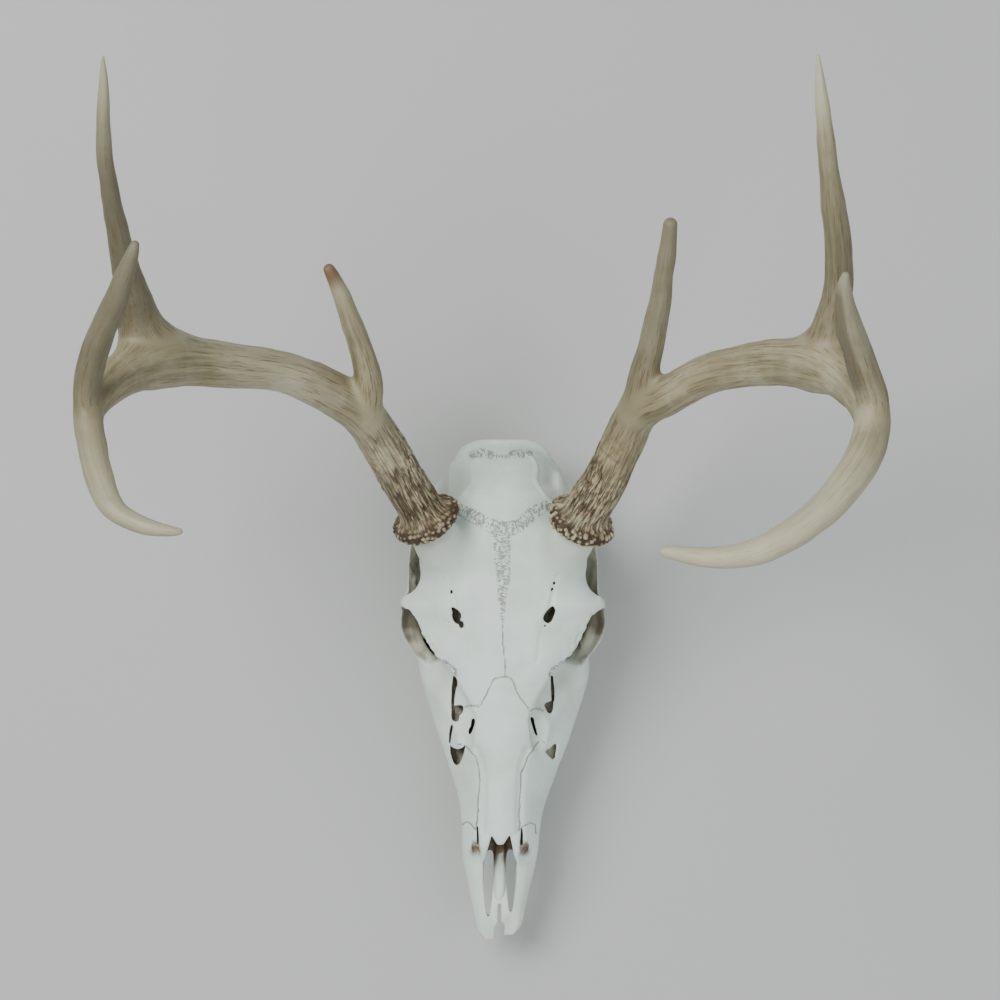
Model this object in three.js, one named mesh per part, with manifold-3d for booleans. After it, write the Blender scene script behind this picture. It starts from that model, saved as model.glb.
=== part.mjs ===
// A white-tailed buck's skull with both antlers, without the lower jaw, at rest on a table.
// Millimetres, +Z up, the nose points to -Y and the nape to +Y. Left and right are the animal's own,
// so its left side is at +X. The skull is drawn about its midline, on a table at z = 0, and the whole
// is moved at the end so that the origin lies under the middle of the object.
import * as THREE from "three";
import { mergeVertices } from "three/addons/utils/BufferGeometryUtils.js";
import Module from "manifold-3d";

const wasm = await Module();
wasm.setup();

// ---------------------------------------------------------------- driving dimensions
const side = { left: 1, right: -1 };
const tableZ = 0;
const noseTipY = -255; // front end of the premaxillae
const napeY = 33; // back of the nuchal crest
const nasalFrontY = -207; // where the nasal bones stop roofing the nose
const noseDepthY = -172; // how far back the nose is hollow
const nasalThickness = 4;
const palateThickness = 4;
const sutureGap = 0.35; // between two bones, and between a tine and its beam
const beamLength = 400;
const burr = { centre: [42.5, -11.5, 107.5], radius: 20.5, thick: 11, way: [0.39, 0.745, 0.54] };
const toothRow = {
  frontY: -160,
  lengths: [10, 11, 11.5, 13, 14.5, 15], // three premolars and three molars
  gap: 0.5,
  rootZ: 34,
  tipZ: [[-160, 11], [-92, -0.6], [-85, -2]], // [y, z] along the worn tips
};

// Rounded forms of the left side: a centre, three radii and a turn about X, Y and Z.
const orbit = { centre: [52, -74, 67], radii: [27, 19.5, 20], turn: [0, -0.25, 0.22] };
const vacuity = { centre: [26.5, -125, 75], radii: [4.2, 25, 17] };
const palatineFissure = { centre: [6.2, -224, 30], radii: [3.8, 20, 26] };
const supraorbitalForamen = { centre: [27, -64.5, 96], radii: [2.6, 4.2, 9], turn: [0, 0, 0.3] };
const condyle = { centre: [11.5, 21.5, 22], radii: [8.5, 8.5, 9], turn: [0.3, 0, 0.3] };
const earCapsule = { centre: [20, -2, 26], radii: [8.5, 13, 9] };
const mastoid = { centre: [33.5, 5, 41], radii: [6.5, 7, 8] };
const foramenMagnum = { centre: [0, 35, 33], radii: [8, 22, 8], turn: [0.2, 0, 0] };
const choana = { centre: [0, -56, 26], radii: [8.5, 26, 12] };

// Limbs of the left side, as [x, y, z, radius].
const cheekbone = [
  [40, -106, 48, 6], [44.5, -90, 47.5, 5], [49.5, -76, 47, 5], [52, -62, 48, 5.5], [50.5, -48, 47, 5],
];
const arch = [[50.5, -48, 47, 5], [50, -36, 44, 4.2], [47, -24, 43, 4.2], [42, -10, 41, 5], [33, 2, 40, 7]];
const postorbitalBar = [[51.5, -57, 82, 4.5], [53, -58, 72, 4], [53.2, -58, 60, 4.2], [52, -59, 48, 5]];
const pedicle = [
  [31.5, -31, 82, 15.5], [34.5, -26.5, 93, 14.5], [37.9, -20.3, 101.1, 13.6], [40.2, -15.9, 104.3, 13.4],
];
const paroccipital = [[27, 14, 40, 8], [26.5, 16, 22, 6.5], [25, 16.5, 8, 4.6], [24.5, 16.5, -3, 3.6]];

// Outlines seen from the side, as [y, z], and in plan, as [x, y].
const pterygoidWing = [
  [-86, 9], [-72, 11], [-60, 15], [-46, 14], [-42, 18], [-36, 33], [-36, 42], [-86, 34],
];
const napeHollow = [[33.5, 50], [29, 30], [24, 12], [24, -5], [60, -5], [60, 50]];
const nasalNotch = [[0, -212], [9.2, -212], [8, -206.5], [5.4, -190], [1.6, -196.5], [0, -197]];
const noseSlit = [[-1.2, -262], [1.2, -262], [1.2, -234], [-1.2, -234]];

// The lines of the skull run from the nose to the nape: pairs of [y, value]. Half is half a breadth.
const line = {
  // the face: nasal roof, cheek and tooth-bearing edge
  roofZ: [[noseTipY, 33], [-231, 45], [-206, 60], [-193, 66], [-170, 73], [-147, 79], [-124, 85],
    [-101, 90], [-80, 90], [-64, 80]],
  roofHalf: [[noseTipY, 5], [-231, 9], [-206, 11], [-170, 12], [-147, 15], [-124, 18], [-101, 25],
    [-64, 26]],
  roofDrop: [[noseTipY, 1], [-206, 3], [-124, 4], [-80, 6]],
  cheekHalf: [[noseTipY, 8], [-251, 11.5], [-244, 14], [-231, 16.5], [-206, 21.5], [-182, 23], [-170, 25.3],
    [-147, 32.8], [-124, 40.4], [-101, 46.5], [-86, 45], [-74, 38], [-64, 28]],
  cheekZ: [[noseTipY, 29], [-231, 34], [-206, 40], [-170, 43], [-147, 44], [-124, 46], [-80, 48]],
  alveolarHalf: [[noseTipY, 6], [-231, 12], [-206, 16], [-182, 17], [-160, 25], [-124, 32],
    [-84, 34.5], [-64, 24]],
  alveolarZ: [[noseTipY, 25], [-206, 29], [-172, 27], [-160, 21], [-84, 12], [-74, 16], [-64, 28]],
  palateZ: [[noseTipY, 28], [-206, 31], [-172, 31], [-160, 29], [-124, 27], [-64, 27]],
  // the forehead, down to its rims over the orbits
  frontalZ: [[-112, 86], [-101, 90], [-84, 93.5], [-67, 96], [-50, 97.5], [-33, 98], [-14, 95.5], [2, 88]],
  frontalRim: [[-112, 20], [-101, 27], [-90, 35], [-85, 39.5], [-77, 43.5], [-67, 49], [-59, 56.5],
    [-55, 54], [-50, 48.5], [-42, 45], [-30, 43], [-18, 37], [2, 29]],
  frontalRimZ: [[-112, 76], [-90, 82], [-77, 83], [-59, 79], [-42, 79], [-30, 80], [-18, 77], [2, 70]],
  // the braincase
  vaultZ: [[-96, 78], [-50, 93], [-30, 96], [-10, 94], [5, 89], [17, 80.5], [26, 69.5], [napeY, 55]],
  vaultHalf: [[-96, 17], [-74, 22], [-50, 31], [-30, 35], [-10, 36.5], [5, 36], [17, 33], [23, 31],
    [28.5, 27.5], [napeY, 19]],
  vaultMidZ: [[-96, 56], [-30, 58], [5, 52], [napeY, 40]],
  baseZ: [[-96, 38], [-50, 38], [-30, 35], [0, 27], [20, 22], [napeY, 22]],
};

// A line's value at y: a cubic that runs smoothly through its points.
function at(points, y) {
  const last = points.length - 1;
  if (y <= points[0][0]) return points[0][1];
  if (y >= points[last][0]) return points[last][1];
  const i = points.findIndex((p) => p[0] > y) - 1;
  const slope = (k) => {
    const [a, b] = [points[Math.max(k - 1, 0)], points[Math.min(k + 1, last)]];
    return (b[1] - a[1]) / (b[0] - a[0]);
  };
  const [[y0, v0], [y1, v1]] = [points[i], points[i + 1]];
  const step = y1 - y0;
  const t = (y - y0) / step;
  const rise = (v1 - v0) * t * t * (3 - 2 * t);
  return v0 + rise + step * (slope(i) * t * (1 - t) ** 2 - slope(i + 1) * t * t * (1 - t));
}

// ---------------------------------------------------------------- solids
function solid(geometry) {
  const bare = geometry.index ? geometry.toNonIndexed() : geometry.clone();
  const places = new THREE.BufferGeometry().setAttribute("position", bare.getAttribute("position"));
  const merged = mergeVertices(places, 1e-4);
  return new wasm.Manifold(new wasm.Mesh({
    numProp: 3,
    vertProperties: merged.attributes.position.array,
    triVerts: new Uint32Array(merged.index.array),
  }));
}

function geometryOf(made) {
  const mesh = made.getMesh();
  return new THREE.BufferGeometry()
    .setAttribute("position", new THREE.BufferAttribute(mesh.vertProperties, 3))
    .setIndex(new THREE.BufferAttribute(mesh.triVerts, 1))
    .toNonIndexed();
}

// A closed body through rings of equal count, each an array of Vector3 that runs anticlockwise
// when seen against the direction of travel.
function skin(rings) {
  const n = rings[0].length;
  const corners = [];
  const middle = (ring) => ring.reduce((sum, p) => sum.add(p), new THREE.Vector3()).divideScalar(n);
  const [first, final] = [middle(rings[0]), middle(rings.at(-1))];
  for (let i = 0; i < n; i++) {
    const j = (i + 1) % n;
    corners.push(first, rings[0][j], rings[0][i], final, rings.at(-1)[i], rings.at(-1)[j]);
    for (let k = 0; k + 1 < rings.length; k++) {
      const [a, b, c, d] = [rings[k][i], rings[k][j], rings[k + 1][i], rings[k + 1][j]];
      corners.push(a, b, d, a, d, c);
    }
  }
  return solid(new THREE.BufferGeometry().setFromPoints(corners));
}

// A symmetrical body along Y. half(y) gives the key points [x, z] of its right-hand outline, top to bottom.
function loft(half, ys, pieces = 26) {
  return skin(ys.map((y) => {
    const points = half(y);
    const mirrored = points.slice(1, -1).reverse().map(([x, z]) => [-x, z]);
    const keys = [...points, ...mirrored].map(([x, z]) => new THREE.Vector3(x, y, z));
    return new THREE.CatmullRomCurve3(keys, true, "catmullrom", 0.5).getPoints(pieces).slice(0, -1);
  }));
}

const stations = (from, to, count) =>
  Array.from({ length: count }, (_, i) => from + ((to - from) * i) / (count - 1));

// A round limb through [x, y, z, radius] points, from one share of its length to another.
function limb(points, { sides = 10, steps = 12, from = 0, to = 1, grow = 0 } = {}) {
  const places = points.map(([x, y, z]) => new THREE.Vector3(x, y, z));
  const curve = new THREE.CatmullRomCurve3(places, false, "centripetal");
  const radii = points.map((p, i) => [i / (points.length - 1), p[3] + grow]);
  let [normal, previous] = [new THREE.Vector3(1, 0, 0), null];
  return skin(stations(from, to, steps + 1).map((t) => {
    const tangent = curve.getTangent(t);
    if (previous) normal.applyQuaternion(new THREE.Quaternion().setFromUnitVectors(previous, tangent));
    normal = normal.sub(tangent.clone().multiplyScalar(normal.dot(tangent))).normalize();
    previous = tangent;
    const across = new THREE.Vector3().crossVectors(tangent, normal);
    return Array.from({ length: sides }, (_, i) => {
      const turn = (2 * Math.PI * i) / sides;
      return curve.getPoint(t)
        .addScaledVector(normal, at(radii, t) * Math.cos(turn))
        .addScaledVector(across, at(radii, t) * Math.sin(turn));
    });
  }));
}

// An ellipsoid. Side -1 gives its mirror image.
function ball({ centre, radii, turn = [0, 0, 0] }, s = 1, detail = 8) {
  const shape = new THREE.SphereGeometry(1, detail, Math.round(detail * 0.7));
  const place = new THREE.Matrix4().compose(
    new THREE.Vector3(s * centre[0], centre[1], centre[2]),
    new THREE.Quaternion().setFromEuler(new THREE.Euler(turn[0], s * turn[1], s * turn[2])),
    new THREE.Vector3(...radii),
  );
  return solid(shape.applyMatrix4(place));
}

// A prism over an outline drawn in plan, as [x, y], between two heights.
function plan(outline, low, high) {
  const shape = new THREE.Shape(outline.map(([x, y]) => new THREE.Vector2(x, y)));
  const made = new THREE.ExtrudeGeometry(shape, { depth: high - low, bevelEnabled: false });
  return solid(made.translate(0, 0, low));
}

// A prism over an outline drawn from the side, as [y, z], between two x.
function profile(outline, low, high) {
  const shape = new THREE.Shape(outline.map(([y, z]) => new THREE.Vector2(y, z)));
  const made = new THREE.ExtrudeGeometry(shape, { depth: high - low, bevelEnabled: false });
  const upright = new THREE.Matrix4().makeBasis(
    new THREE.Vector3(0, 1, 0), new THREE.Vector3(0, 0, 1), new THREE.Vector3(1, 0, 0));
  return solid(made.applyMatrix4(upright).translate(low, 0, 0));
}

const union = (list) => list.reduce((sum, next) => sum.add(next));
const bothSides = (make) => union([make(1), make(-1)]);
const mirrorX = (points, s) => points.map(([x, ...rest]) => [s * x, ...rest]);
const facing = (outline, s) => (s > 0 ? outline : mirrorX(outline, -1).reverse()); // stays anticlockwise

// ---------------------------------------------------------------- the whole skull
function faceSection(y) {
  const v = (name) => at(line[name], y);
  const shoulderZ = v("roofZ") - v("roofDrop");
  return [
    [0, v("roofZ")],
    [v("roofHalf"), shoulderZ],
    [(v("roofHalf") + v("cheekHalf")) / 2 + 1, (shoulderZ + v("cheekZ")) / 2 + 2],
    [v("cheekHalf"), v("cheekZ")],
    [v("alveolarHalf"), v("alveolarZ")],
    [v("alveolarHalf") * 0.6, v("alveolarZ")],
    [0, v("palateZ")],
  ];
}

function frontalSection(y) {
  const v = (name) => at(line[name], y);
  const [rim, rimZ] = [v("frontalRim"), v("frontalRimZ")];
  return [
    [0, v("frontalZ")],
    [rim * 0.6, v("frontalZ") - 2.5],
    [rim, rimZ],
    [rim - 5, rimZ - 5],
    [rim * 0.5, rimZ - 16],
    [0, rimZ - 18],
  ];
}

function vaultSection(y) {
  const v = (name) => at(line[name], y);
  const [top, mid, base, half] = [v("vaultZ"), v("vaultMidZ"), v("baseZ"), v("vaultHalf")];
  return [
    [0, top],
    [half * 0.66, top - (top - mid) * 0.2],
    [half, mid],
    [half * 0.74, base + (mid - base) * 0.2],
    [0, base],
  ];
}

// The hollow of the nose, which lies open in front of the nasal bones.
function noseSection(y) {
  const open = y < nasalFrontY;
  const top = at(line.roofZ, y) + (open ? 14 : -nasalThickness);
  const floor = at(line.palateZ, y) + palateThickness;
  const wide = Math.min(at(line.cheekHalf, y) - 5.5, at(line.roofHalf, y) + 3);
  return [[0, top], [wide * 0.8, top - 2], [wide, (top + floor) / 2], [wide * 0.7, floor + 1], [0, floor]];
}

// A row of six cheek teeth, whose worn tips lie in one slanted plane. The last one stands on the table.
function cheekTeeth(s) {
  let backY = toothRow.frontY;
  return union(toothRow.lengths.map((long) => {
    const [halfLong, halfWide, y] = [(long - toothRow.gap) / 2, long * 0.43 + 0.8, backY + long / 2];
    const x = s * (at(line.alveolarHalf, y) - 0.5 - halfWide);
    backY += long;
    const corners = [[-1, -0.6], [-0.6, -1], [0.6, -1], [1, -0.6], [1, 0.6], [0.6, 1], [-0.6, 1], [-1, 0.6]];
    const ring = (z, shrink) => corners
      .map(([a, b]) => new THREE.Vector3(x + a * (halfWide - shrink), y + b * (halfLong - shrink / 3), z));
    const tipZ = at(toothRow.tipZ, y);
    return skin([ring(tipZ, 1), ring(toothRow.rootZ, 0)]);
  }));
}

function wholeSkull() {
  const faceStations = [noseTipY, -251, -243, -206, -182, -168, -148, -124, -102, -86, -74, -64];
  const face = loft(faceSection, faceStations, 14);
  const forehead = loft(frontalSection, [-112, -98, -86, -74, -64, -57, -51, -42, -22, 2], 14);
  const vault = loft(vaultSection, [-96, -74, -50, -28, -6, 10, 21, 28, napeY], 14);
  const noseStations = [-250, -232, nasalFrontY - 0.2, nasalFrontY + 0.2, noseDepthY];
  const hollows = union([
    bothSides((s) => ball(orbit, s, 10)),
    bothSides((s) => ball(vacuity, s)),
    bothSides((s) => plan(facing(nasalNotch, s), 48, 90)),
    loft(noseSection, noseStations, 8),
    ball(choana),
    profile(napeHollow, -45, 45),
  ]);
  const processes = bothSides((s) => union([
    limb(mirrorX(cheekbone, s), { sides: 7, steps: 5 }),
    limb(mirrorX(arch, s), { sides: 7, steps: 5 }),
    limb(mirrorX(postorbitalBar, s), { sides: 6, steps: 3 }),
    limb(mirrorX(pedicle, s), { sides: 12, steps: 3 }),
    limb(mirrorX(paroccipital, s), { sides: 6, steps: 4 }),
    profile(pterygoidWing, s * 11 - 2, s * 11 + 2),
    ball(condyle, s),
    ball(earCapsule, s),
    ball(mastoid, s),
    cheekTeeth(s),
  ]));
  const openings = union([
    bothSides((s) => ball(palatineFissure, s)),
    bothSides((s) => ball(supraorbitalForamen, s)),
    plan(noseSlit, 0, 60),
    ball({ centre: [0, -251, 30], radii: [3.2, 5, 30] }),
    ball(foramenMagnum),
    plan([[-90, -300], [90, -300], [90, 90], [-90, 90]], -40, tableZ), // feet end flat on the table
  ]);
  return union([face, forehead, vault]).subtract(hollows).add(processes).subtract(openings);
}

// ---------------------------------------------------------------- the bones
// A bone is what its outlines take from the skull: one drawn in plan for the left side, one from the side.
const bones = [
  {
    name: "nasal",
    plan: [[-1, -213], [14, -213], [12.4, -200], [12.2, -170], [14.2, -152], [17.2, -140], [15.5, -122],
      [12.5, -113], [5, -101.5], [-1, -100]],
    profile: [[-214, 50], [-200, 57], [-150, 70], [-100, 80], [-100, 130], [-214, 130]],
  },
  {
    name: "frontal",
    plan: [[-1, -100], [5, -101.5], [12.5, -113], [17, -113], [23.5, -98], [36, -88], [62, -86], [62, -30],
      [60, 3], [40, 3], [28, -4.5], [14, -9.5], [8, -15.5], [-1, -17]],
    profile: [[-120, 74], [-96, 72], [-70, 72], [-58, 68], [-50, 62], [-8, 72], [6, 78], [6, 130],
      [-120, 130]],
  },
  { name: "premaxilla", profile: [[-262, 0], [-217, 0], [-214, 30], [-184, 56], [-184, 100], [-262, 100]] },
  {
    name: "cheekbone",
    plan: [[36, -108], [70, -108], [70, -43], [36, -43]],
    profile: [[-108, 38], [-43, 38], [-43, 74], [-80, 74], [-88, 60], [-108, 50]],
  },
  { name: "lacrimal", profile: [[-112, 48], [-88, 56], [-80, 60], [-80, 100], [-112, 100]] },
  {
    name: "maxilla",
    profile: [[-218, -10], [-62, -10], [-62, 44], [-88, 50], [-112, 46], [-112, 100], [-218, 100]],
  },
  { name: "palatine", profile: [[-90, 0], [-30, 0], [-30, 31], [-62, 31], [-90, 31]] },
  {
    name: "temporal",
    plan: [[16, -52], [70, -52], [70, 13], [14, 13], [10, -8]],
    profile: [[-50, 24], [-12, 14], [12, 14], [12, 30], [9, 58], [-20, 64], [-50, 60]],
  },
  {
    name: "occipital",
    single: true,
    profile: [[8, -10], [60, -10], [60, 100], [25, 100], [21, 60], [12, 50], [12, 24]],
  },
  {
    name: "parietal",
    single: true,
    profile: [[-54, 62], [-20, 64], [9, 58], [30, 48], [30, 110], [-54, 110]],
  },
];

const wholeSide = [[-300, -20], [90, -20], [90, 140], [-300, 140]];

// An outline, anticlockwise, moved outwards by a distance.
function grown(outline, by) {
  return outline.map(([a, b], i) => {
    const [before, after] = [outline.at(i - 1), outline[(i + 1) % outline.length]];
    const [n1, n2] = [[b - before[1], before[0] - a], [after[1] - b, a - after[0]]]
      .map(([p, q]) => [p / Math.hypot(p, q), q / Math.hypot(p, q)]);
    const reach = by / Math.max(0.35, 1 + n1[0] * n2[0] + n1[1] * n2[1]);
    return [a + (n1[0] + n2[0]) * reach, b + (n1[1] + n2[1]) * reach];
  });
}

function region(boneShape, s, by) {
  const inner = sutureGap / 2 - by; // a pair of bones parts at the midline
  const across = boneShape.single ? [-90, 90] : s > 0 ? [inner, 90] : [-90, -inner];
  const sideView = profile(grown(boneShape.profile ?? wholeSide, by), ...across);
  if (!boneShape.plan) return sideView;
  const outline = grown(boneShape.plan, by);
  return sideView.intersect(plan(facing(outline, s), -10, 130));
}

const group = new THREE.Group();
group.name = "deer_skull";
const material = (name, color, roughness) => new THREE.MeshStandardMaterial({ name, color, roughness });
const boneFinish = material("bone", 0xd9dcd6, 0.6);
const antlerFinish = material("antler", 0xa08a68, 0.55);
const burrFinish = material("burr", 0x6b4a30, 0.7);

function place(name, made, finish) {
  const mesh = new THREE.Mesh(geometryOf(made), finish);
  mesh.name = name;
  group.add(mesh);
}

const largest = (made) =>
  made.decompose().reduce((best, next) => (next.volume() > best.volume() ? next : best));

function partBones(skull) {
  let rest = skull;
  for (const boneShape of bones) {
    for (const [name, s] of boneShape.single ? [["", 1]] : Object.entries(side)) {
      const taken = rest.intersect(region(boneShape, s, 0));
      place([boneShape.name, name].filter(Boolean).join("_"), largest(taken), boneFinish);
      rest = rest.subtract(region(boneShape, s, sutureGap));
    }
  }
  place("sphenoid", largest(rest), boneFinish);
}

partBones(wholeSkull());

// ---------------------------------------------------------------- the antlers
const antlers = {
  right: {
    forks: [4.6, 9, 11.5],
    beam: [
      [-44.8, -7.1, 110.7, 12.9], [-46.8, -3.4, 113.4, 12.6], [-54.2, 9, 124, 12.1], [-65.8, 29.5, 140, 11.7],
      [-77.7, 46.9, 157, 11.7], [-96.2, 58.8, 178, 11.8], [-117.7, 66.8, 200, 10.7], [-142.1, 68.8, 221, 11.8],
      [-165.7, 70, 243, 13], [-184.7, 65.6, 263, 12.2], [-197.1, 55.4, 283, 9.9],
      [-203.9, 40.9, 302, 7.4], [-199.7, 21.6, 316, 7.2], [-195.2, 8.4, 326, 7], [-189.5, -2.4, 335, 6.2],
      [-182.6, -8.6, 340, 5.1], [-171, -13.6, 345, 4.2], [-159.3, -15.8, 347, 2.7], [-154.4, -16, 347, 1.7]
    ],
    brow: [
      [-74.3, 46.8, 160, 9.2], [-72.2, 60.9, 172, 7.6], [-75.6, 78.8, 188, 6.3], [-79.9, 91.3, 199, 5.6],
      [-84.2, 103.8, 209, 4.7], [-88.4, 113.6, 217, 3.8], [-91, 118.6, 222, 3]
    ],
    second: [
      [-176, 74.1, 250, 12.4], [-182.4, 89.6, 262, 10.8], [-186, 106, 279, 8],
      [-189.4, 124.3, 298, 6.2], [-191.4, 143.1, 317, 4.6], [-192.7, 162.1, 334, 4.1],
      [-191.7, 179.6, 348, 3.3], [-190.3, 197.2, 359, 2.1], [-190, 207.3, 364, 0.7]
    ],
    third: [
      [-204.2, 43.9, 301, 7], [-202.8, 57, 312, 6.9], [-198.8, 69.8, 322, 6.8], [-193.3, 80.8, 333, 6.6],
      [-186.4, 92.3, 344, 6], [-181.4, 103.2, 352, 5], [-176.6, 114.2, 359, 3.4], [-174.8, 119.2, 361, 2.2]
    ],
  },
  left: {
    forks: [4.6, 9.1, 11.5],
    beam: [
      [44.8, -7.1, 110.7, 12.9], [46.8, -3.4, 113.4, 12.6], [55.1, 10.3, 124, 12.1], [64.2, 30.9, 140, 11.7],
      [73.2, 49, 157, 11.3],
      [87.1, 56.2, 176, 10.4], [105.3, 66.2, 198, 10.4], [124.7, 70.4, 219, 11.1],
      [145.8, 71.5, 242, 12.3], [163.9, 66.6, 264, 12.1], [175.3, 55.8, 284, 10.4],
      [180.2, 42, 303, 9], [178, 31, 315, 9.1], [173.6, 21.4, 326, 9.1], [165.6, 10.2, 336, 8.8],
      [154.6, -2, 343, 8.2], [140.2, -13.4, 347, 7.5], [128.3, -20.4, 349.5, 6.9], [118.8, -24.4, 350, 6.4],
      [106.6, -26.4, 350.5, 5.6], [94.5, -26.5, 350, 4.8], [82.4, -24.8, 349, 3.6], [76.9, -23.9, 348, 2.5]
    ],
    brow: [
      [70.9, 48.9, 160, 9.7], [73.9, 65.6, 173, 8], [77.4, 82.4, 188, 6.9], [80.5, 100, 203, 6],
      [82.2, 114.9, 215, 5.2], [83.8, 129.6, 226, 4.6], [84.6, 141.9, 235, 3.6]
    ],
    second: [
      [163.2, 72.1, 252, 11.6], [163.8, 87.7, 264, 9.2], [165.8, 105.7, 281, 7.4],
      [164.2, 124.2, 298, 6.8], [159.8, 142.2, 316, 6.2], [155.6, 159.9, 332, 4.8],
      [152, 177.4, 346, 4.1], [148.9, 195, 357, 2.8], [146.6, 210, 364, 0.9]
    ],
    third: [
      [180.4, 46, 302, 7.8], [176, 60.6, 313, 7.8], [171.2, 72.4, 323, 7.3], [165.6, 83.9, 335, 6.6],
      [163, 91, 342, 5.5], [161.6, 97.5, 347, 4.5], [161, 103.2, 351, 3.2], [161.3, 107.4, 354, 1.9]
    ],
  },
};

// Points are [x, y, z, radius]. The beam is split past each fork, at a place counted in its points.
const beamParts = ["base", "middle", "bend", "front"];

// The knobbed ring at the foot of an antler.
function coronet(s) {
  const { radius, thick } = burr;
  const outline = [[0, -0.5], [0.72, -0.5], [0.97, -0.3], [1, 0.05], [0.9, 0.35], [0.68, 0.5], [0, 0.5]]
    .map(([r, h]) => new THREE.Vector2(r * radius, h * thick));
  const ring = new THREE.LatheGeometry(outline, 12);
  const [centre, way] = mirrorX([burr.centre, burr.way], s).map((p) => new THREE.Vector3(...p));
  const turn = new THREE.Quaternion().setFromUnitVectors(new THREE.Vector3(0, 1, 0), way.normalize());
  return solid(ring.applyQuaternion(turn).translate(...centre));
}

for (const [name, { forks, beam, brow, second, third }] of Object.entries(antlers)) {
  place(`${name}_burr`, coronet(side[name]), burrFinish);
  const ends = [0, ...forks.map((place) => place / (beam.length - 1)), 1];
  const slot = sutureGap / 2 / beamLength;
  const stretch = (i, reach, grow) => limb(beam, {
    sides: 9,
    steps: Math.round((ends[i + 1] - ends[i]) * beam.length),
    from: i ? ends[i] - reach : 0,
    to: i < beamParts.length - 1 ? ends[i + 1] + reach : 1,
    grow,
  });
  beamParts.forEach((part, i) => place(`${name}_beam_${part}`, stretch(i, -slot, 0), antlerFinish));
  const clearOfBeam = union(beamParts.map((part, i) => stretch(i, slot, sutureGap + 0.1)));
  for (const [tine, points] of Object.entries({ brow, second, third })) {
    const whole = limb(points, { sides: 7, steps: 6 });
    place(`${name}_${tine}_tine`, largest(whole.subtract(clearOfBeam)), antlerFinish);
  }
}

const reach = new THREE.Box3().setFromObject(group);
const middle = reach.getCenter(new THREE.Vector3());
group.position.set(-middle.x, -middle.y, -tableZ);

export default group;
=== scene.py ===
import math

import bpy
import numpy as np
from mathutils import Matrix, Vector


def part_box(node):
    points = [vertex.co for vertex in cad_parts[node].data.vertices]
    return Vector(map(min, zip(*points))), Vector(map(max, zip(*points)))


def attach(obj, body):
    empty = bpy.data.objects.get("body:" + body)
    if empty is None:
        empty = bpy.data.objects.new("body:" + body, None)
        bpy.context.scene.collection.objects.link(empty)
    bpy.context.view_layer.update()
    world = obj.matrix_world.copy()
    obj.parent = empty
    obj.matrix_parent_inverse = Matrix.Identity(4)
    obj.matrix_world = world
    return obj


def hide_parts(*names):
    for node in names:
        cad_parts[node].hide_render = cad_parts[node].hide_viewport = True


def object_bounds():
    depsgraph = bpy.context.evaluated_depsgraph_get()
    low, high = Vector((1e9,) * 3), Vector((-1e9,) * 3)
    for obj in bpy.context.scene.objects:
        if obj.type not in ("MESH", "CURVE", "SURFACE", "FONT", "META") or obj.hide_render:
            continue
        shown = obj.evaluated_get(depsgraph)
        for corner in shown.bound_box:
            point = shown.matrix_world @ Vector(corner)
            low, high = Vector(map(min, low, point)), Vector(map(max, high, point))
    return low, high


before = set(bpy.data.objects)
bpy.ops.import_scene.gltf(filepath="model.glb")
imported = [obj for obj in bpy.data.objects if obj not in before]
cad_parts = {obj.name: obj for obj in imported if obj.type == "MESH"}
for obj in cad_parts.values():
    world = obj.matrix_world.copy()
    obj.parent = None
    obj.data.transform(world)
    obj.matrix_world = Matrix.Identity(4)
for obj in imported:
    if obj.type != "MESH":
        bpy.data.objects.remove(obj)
cadLow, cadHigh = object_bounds()

# the skull is drawn in millimetres about its own midline, nose to -Y, and then moved into the frame
noseTipY = -255
napeY = 33
occipitalLow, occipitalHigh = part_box("occipital")
originX = (occipitalLow.x + occipitalHigh.x) / 2
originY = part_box("premaxilla_left")[0].y - noseTipY / 1000
frameOrigin = np.array([originX, originY, 0.0])
sides = {"left": 1, "right": -1}


def toFrame(points):
    return points / 1000 + frameOrigin


# camera, floor and light
cameraSettings = {
    "height": 1.8,
    "lens": 109.8,
    "leanDegrees": 0.38,
    "shift": -0.0036,
}
lightSettings = {
    "key": {"place": (-0.9, 0.75, 1.9), "size": 1.1, "power": 43, "color": (1.0, 0.985, 0.96)},
    "fill": {"place": (1.3, -0.5, 1.7), "size": 1.6, "power": 12, "color": (0.95, 0.98, 1.0)},
    "front": {"place": (0.1, -1.5, 1.2), "size": 1.4, "power": 10, "color": (1.0, 1.0, 1.0)},
}
floorSettings = {"size": 9, "color": (0.52, 0.535, 0.525), "world": (0.86, 0.9, 0.92),
                 "worldStrength": 0.36}


def makeCamera():
    data = bpy.data.cameras.new("camera")
    data.lens = cameraSettings["lens"]
    data.sensor_width = 36
    data.shift_x = cameraSettings["shift"]
    data.clip_end = 20
    camera = bpy.data.objects.new("camera", data)
    camera.location = (originX, originY, cameraSettings["height"])
    camera.rotation_euler = (0, 0, math.radians(cameraSettings["leanDegrees"]))
    bpy.context.scene.collection.objects.link(camera)
    bpy.context.scene.camera = camera


def makeLights():
    for name, light in lightSettings.items():
        data = bpy.data.lights.new(name, "AREA")
        data.size = light["size"]
        data.energy = light["power"]
        data.color = light["color"]
        lamp = bpy.data.objects.new(name, data)
        lamp.location = light["place"]
        middle = (cadLow + cadHigh) / 2
        lamp.rotation_euler = (middle - lamp.location).to_track_quat("-Z", "Y").to_euler()
        bpy.context.scene.collection.objects.link(lamp)
    world = bpy.data.worlds.new("room")
    world.use_nodes = True
    background = world.node_tree.nodes["Background"]
    background.inputs["Color"].default_value = (*floorSettings["world"], 1)
    background.inputs["Strength"].default_value = floorSettings["worldStrength"]
    bpy.context.scene.world = world


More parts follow.
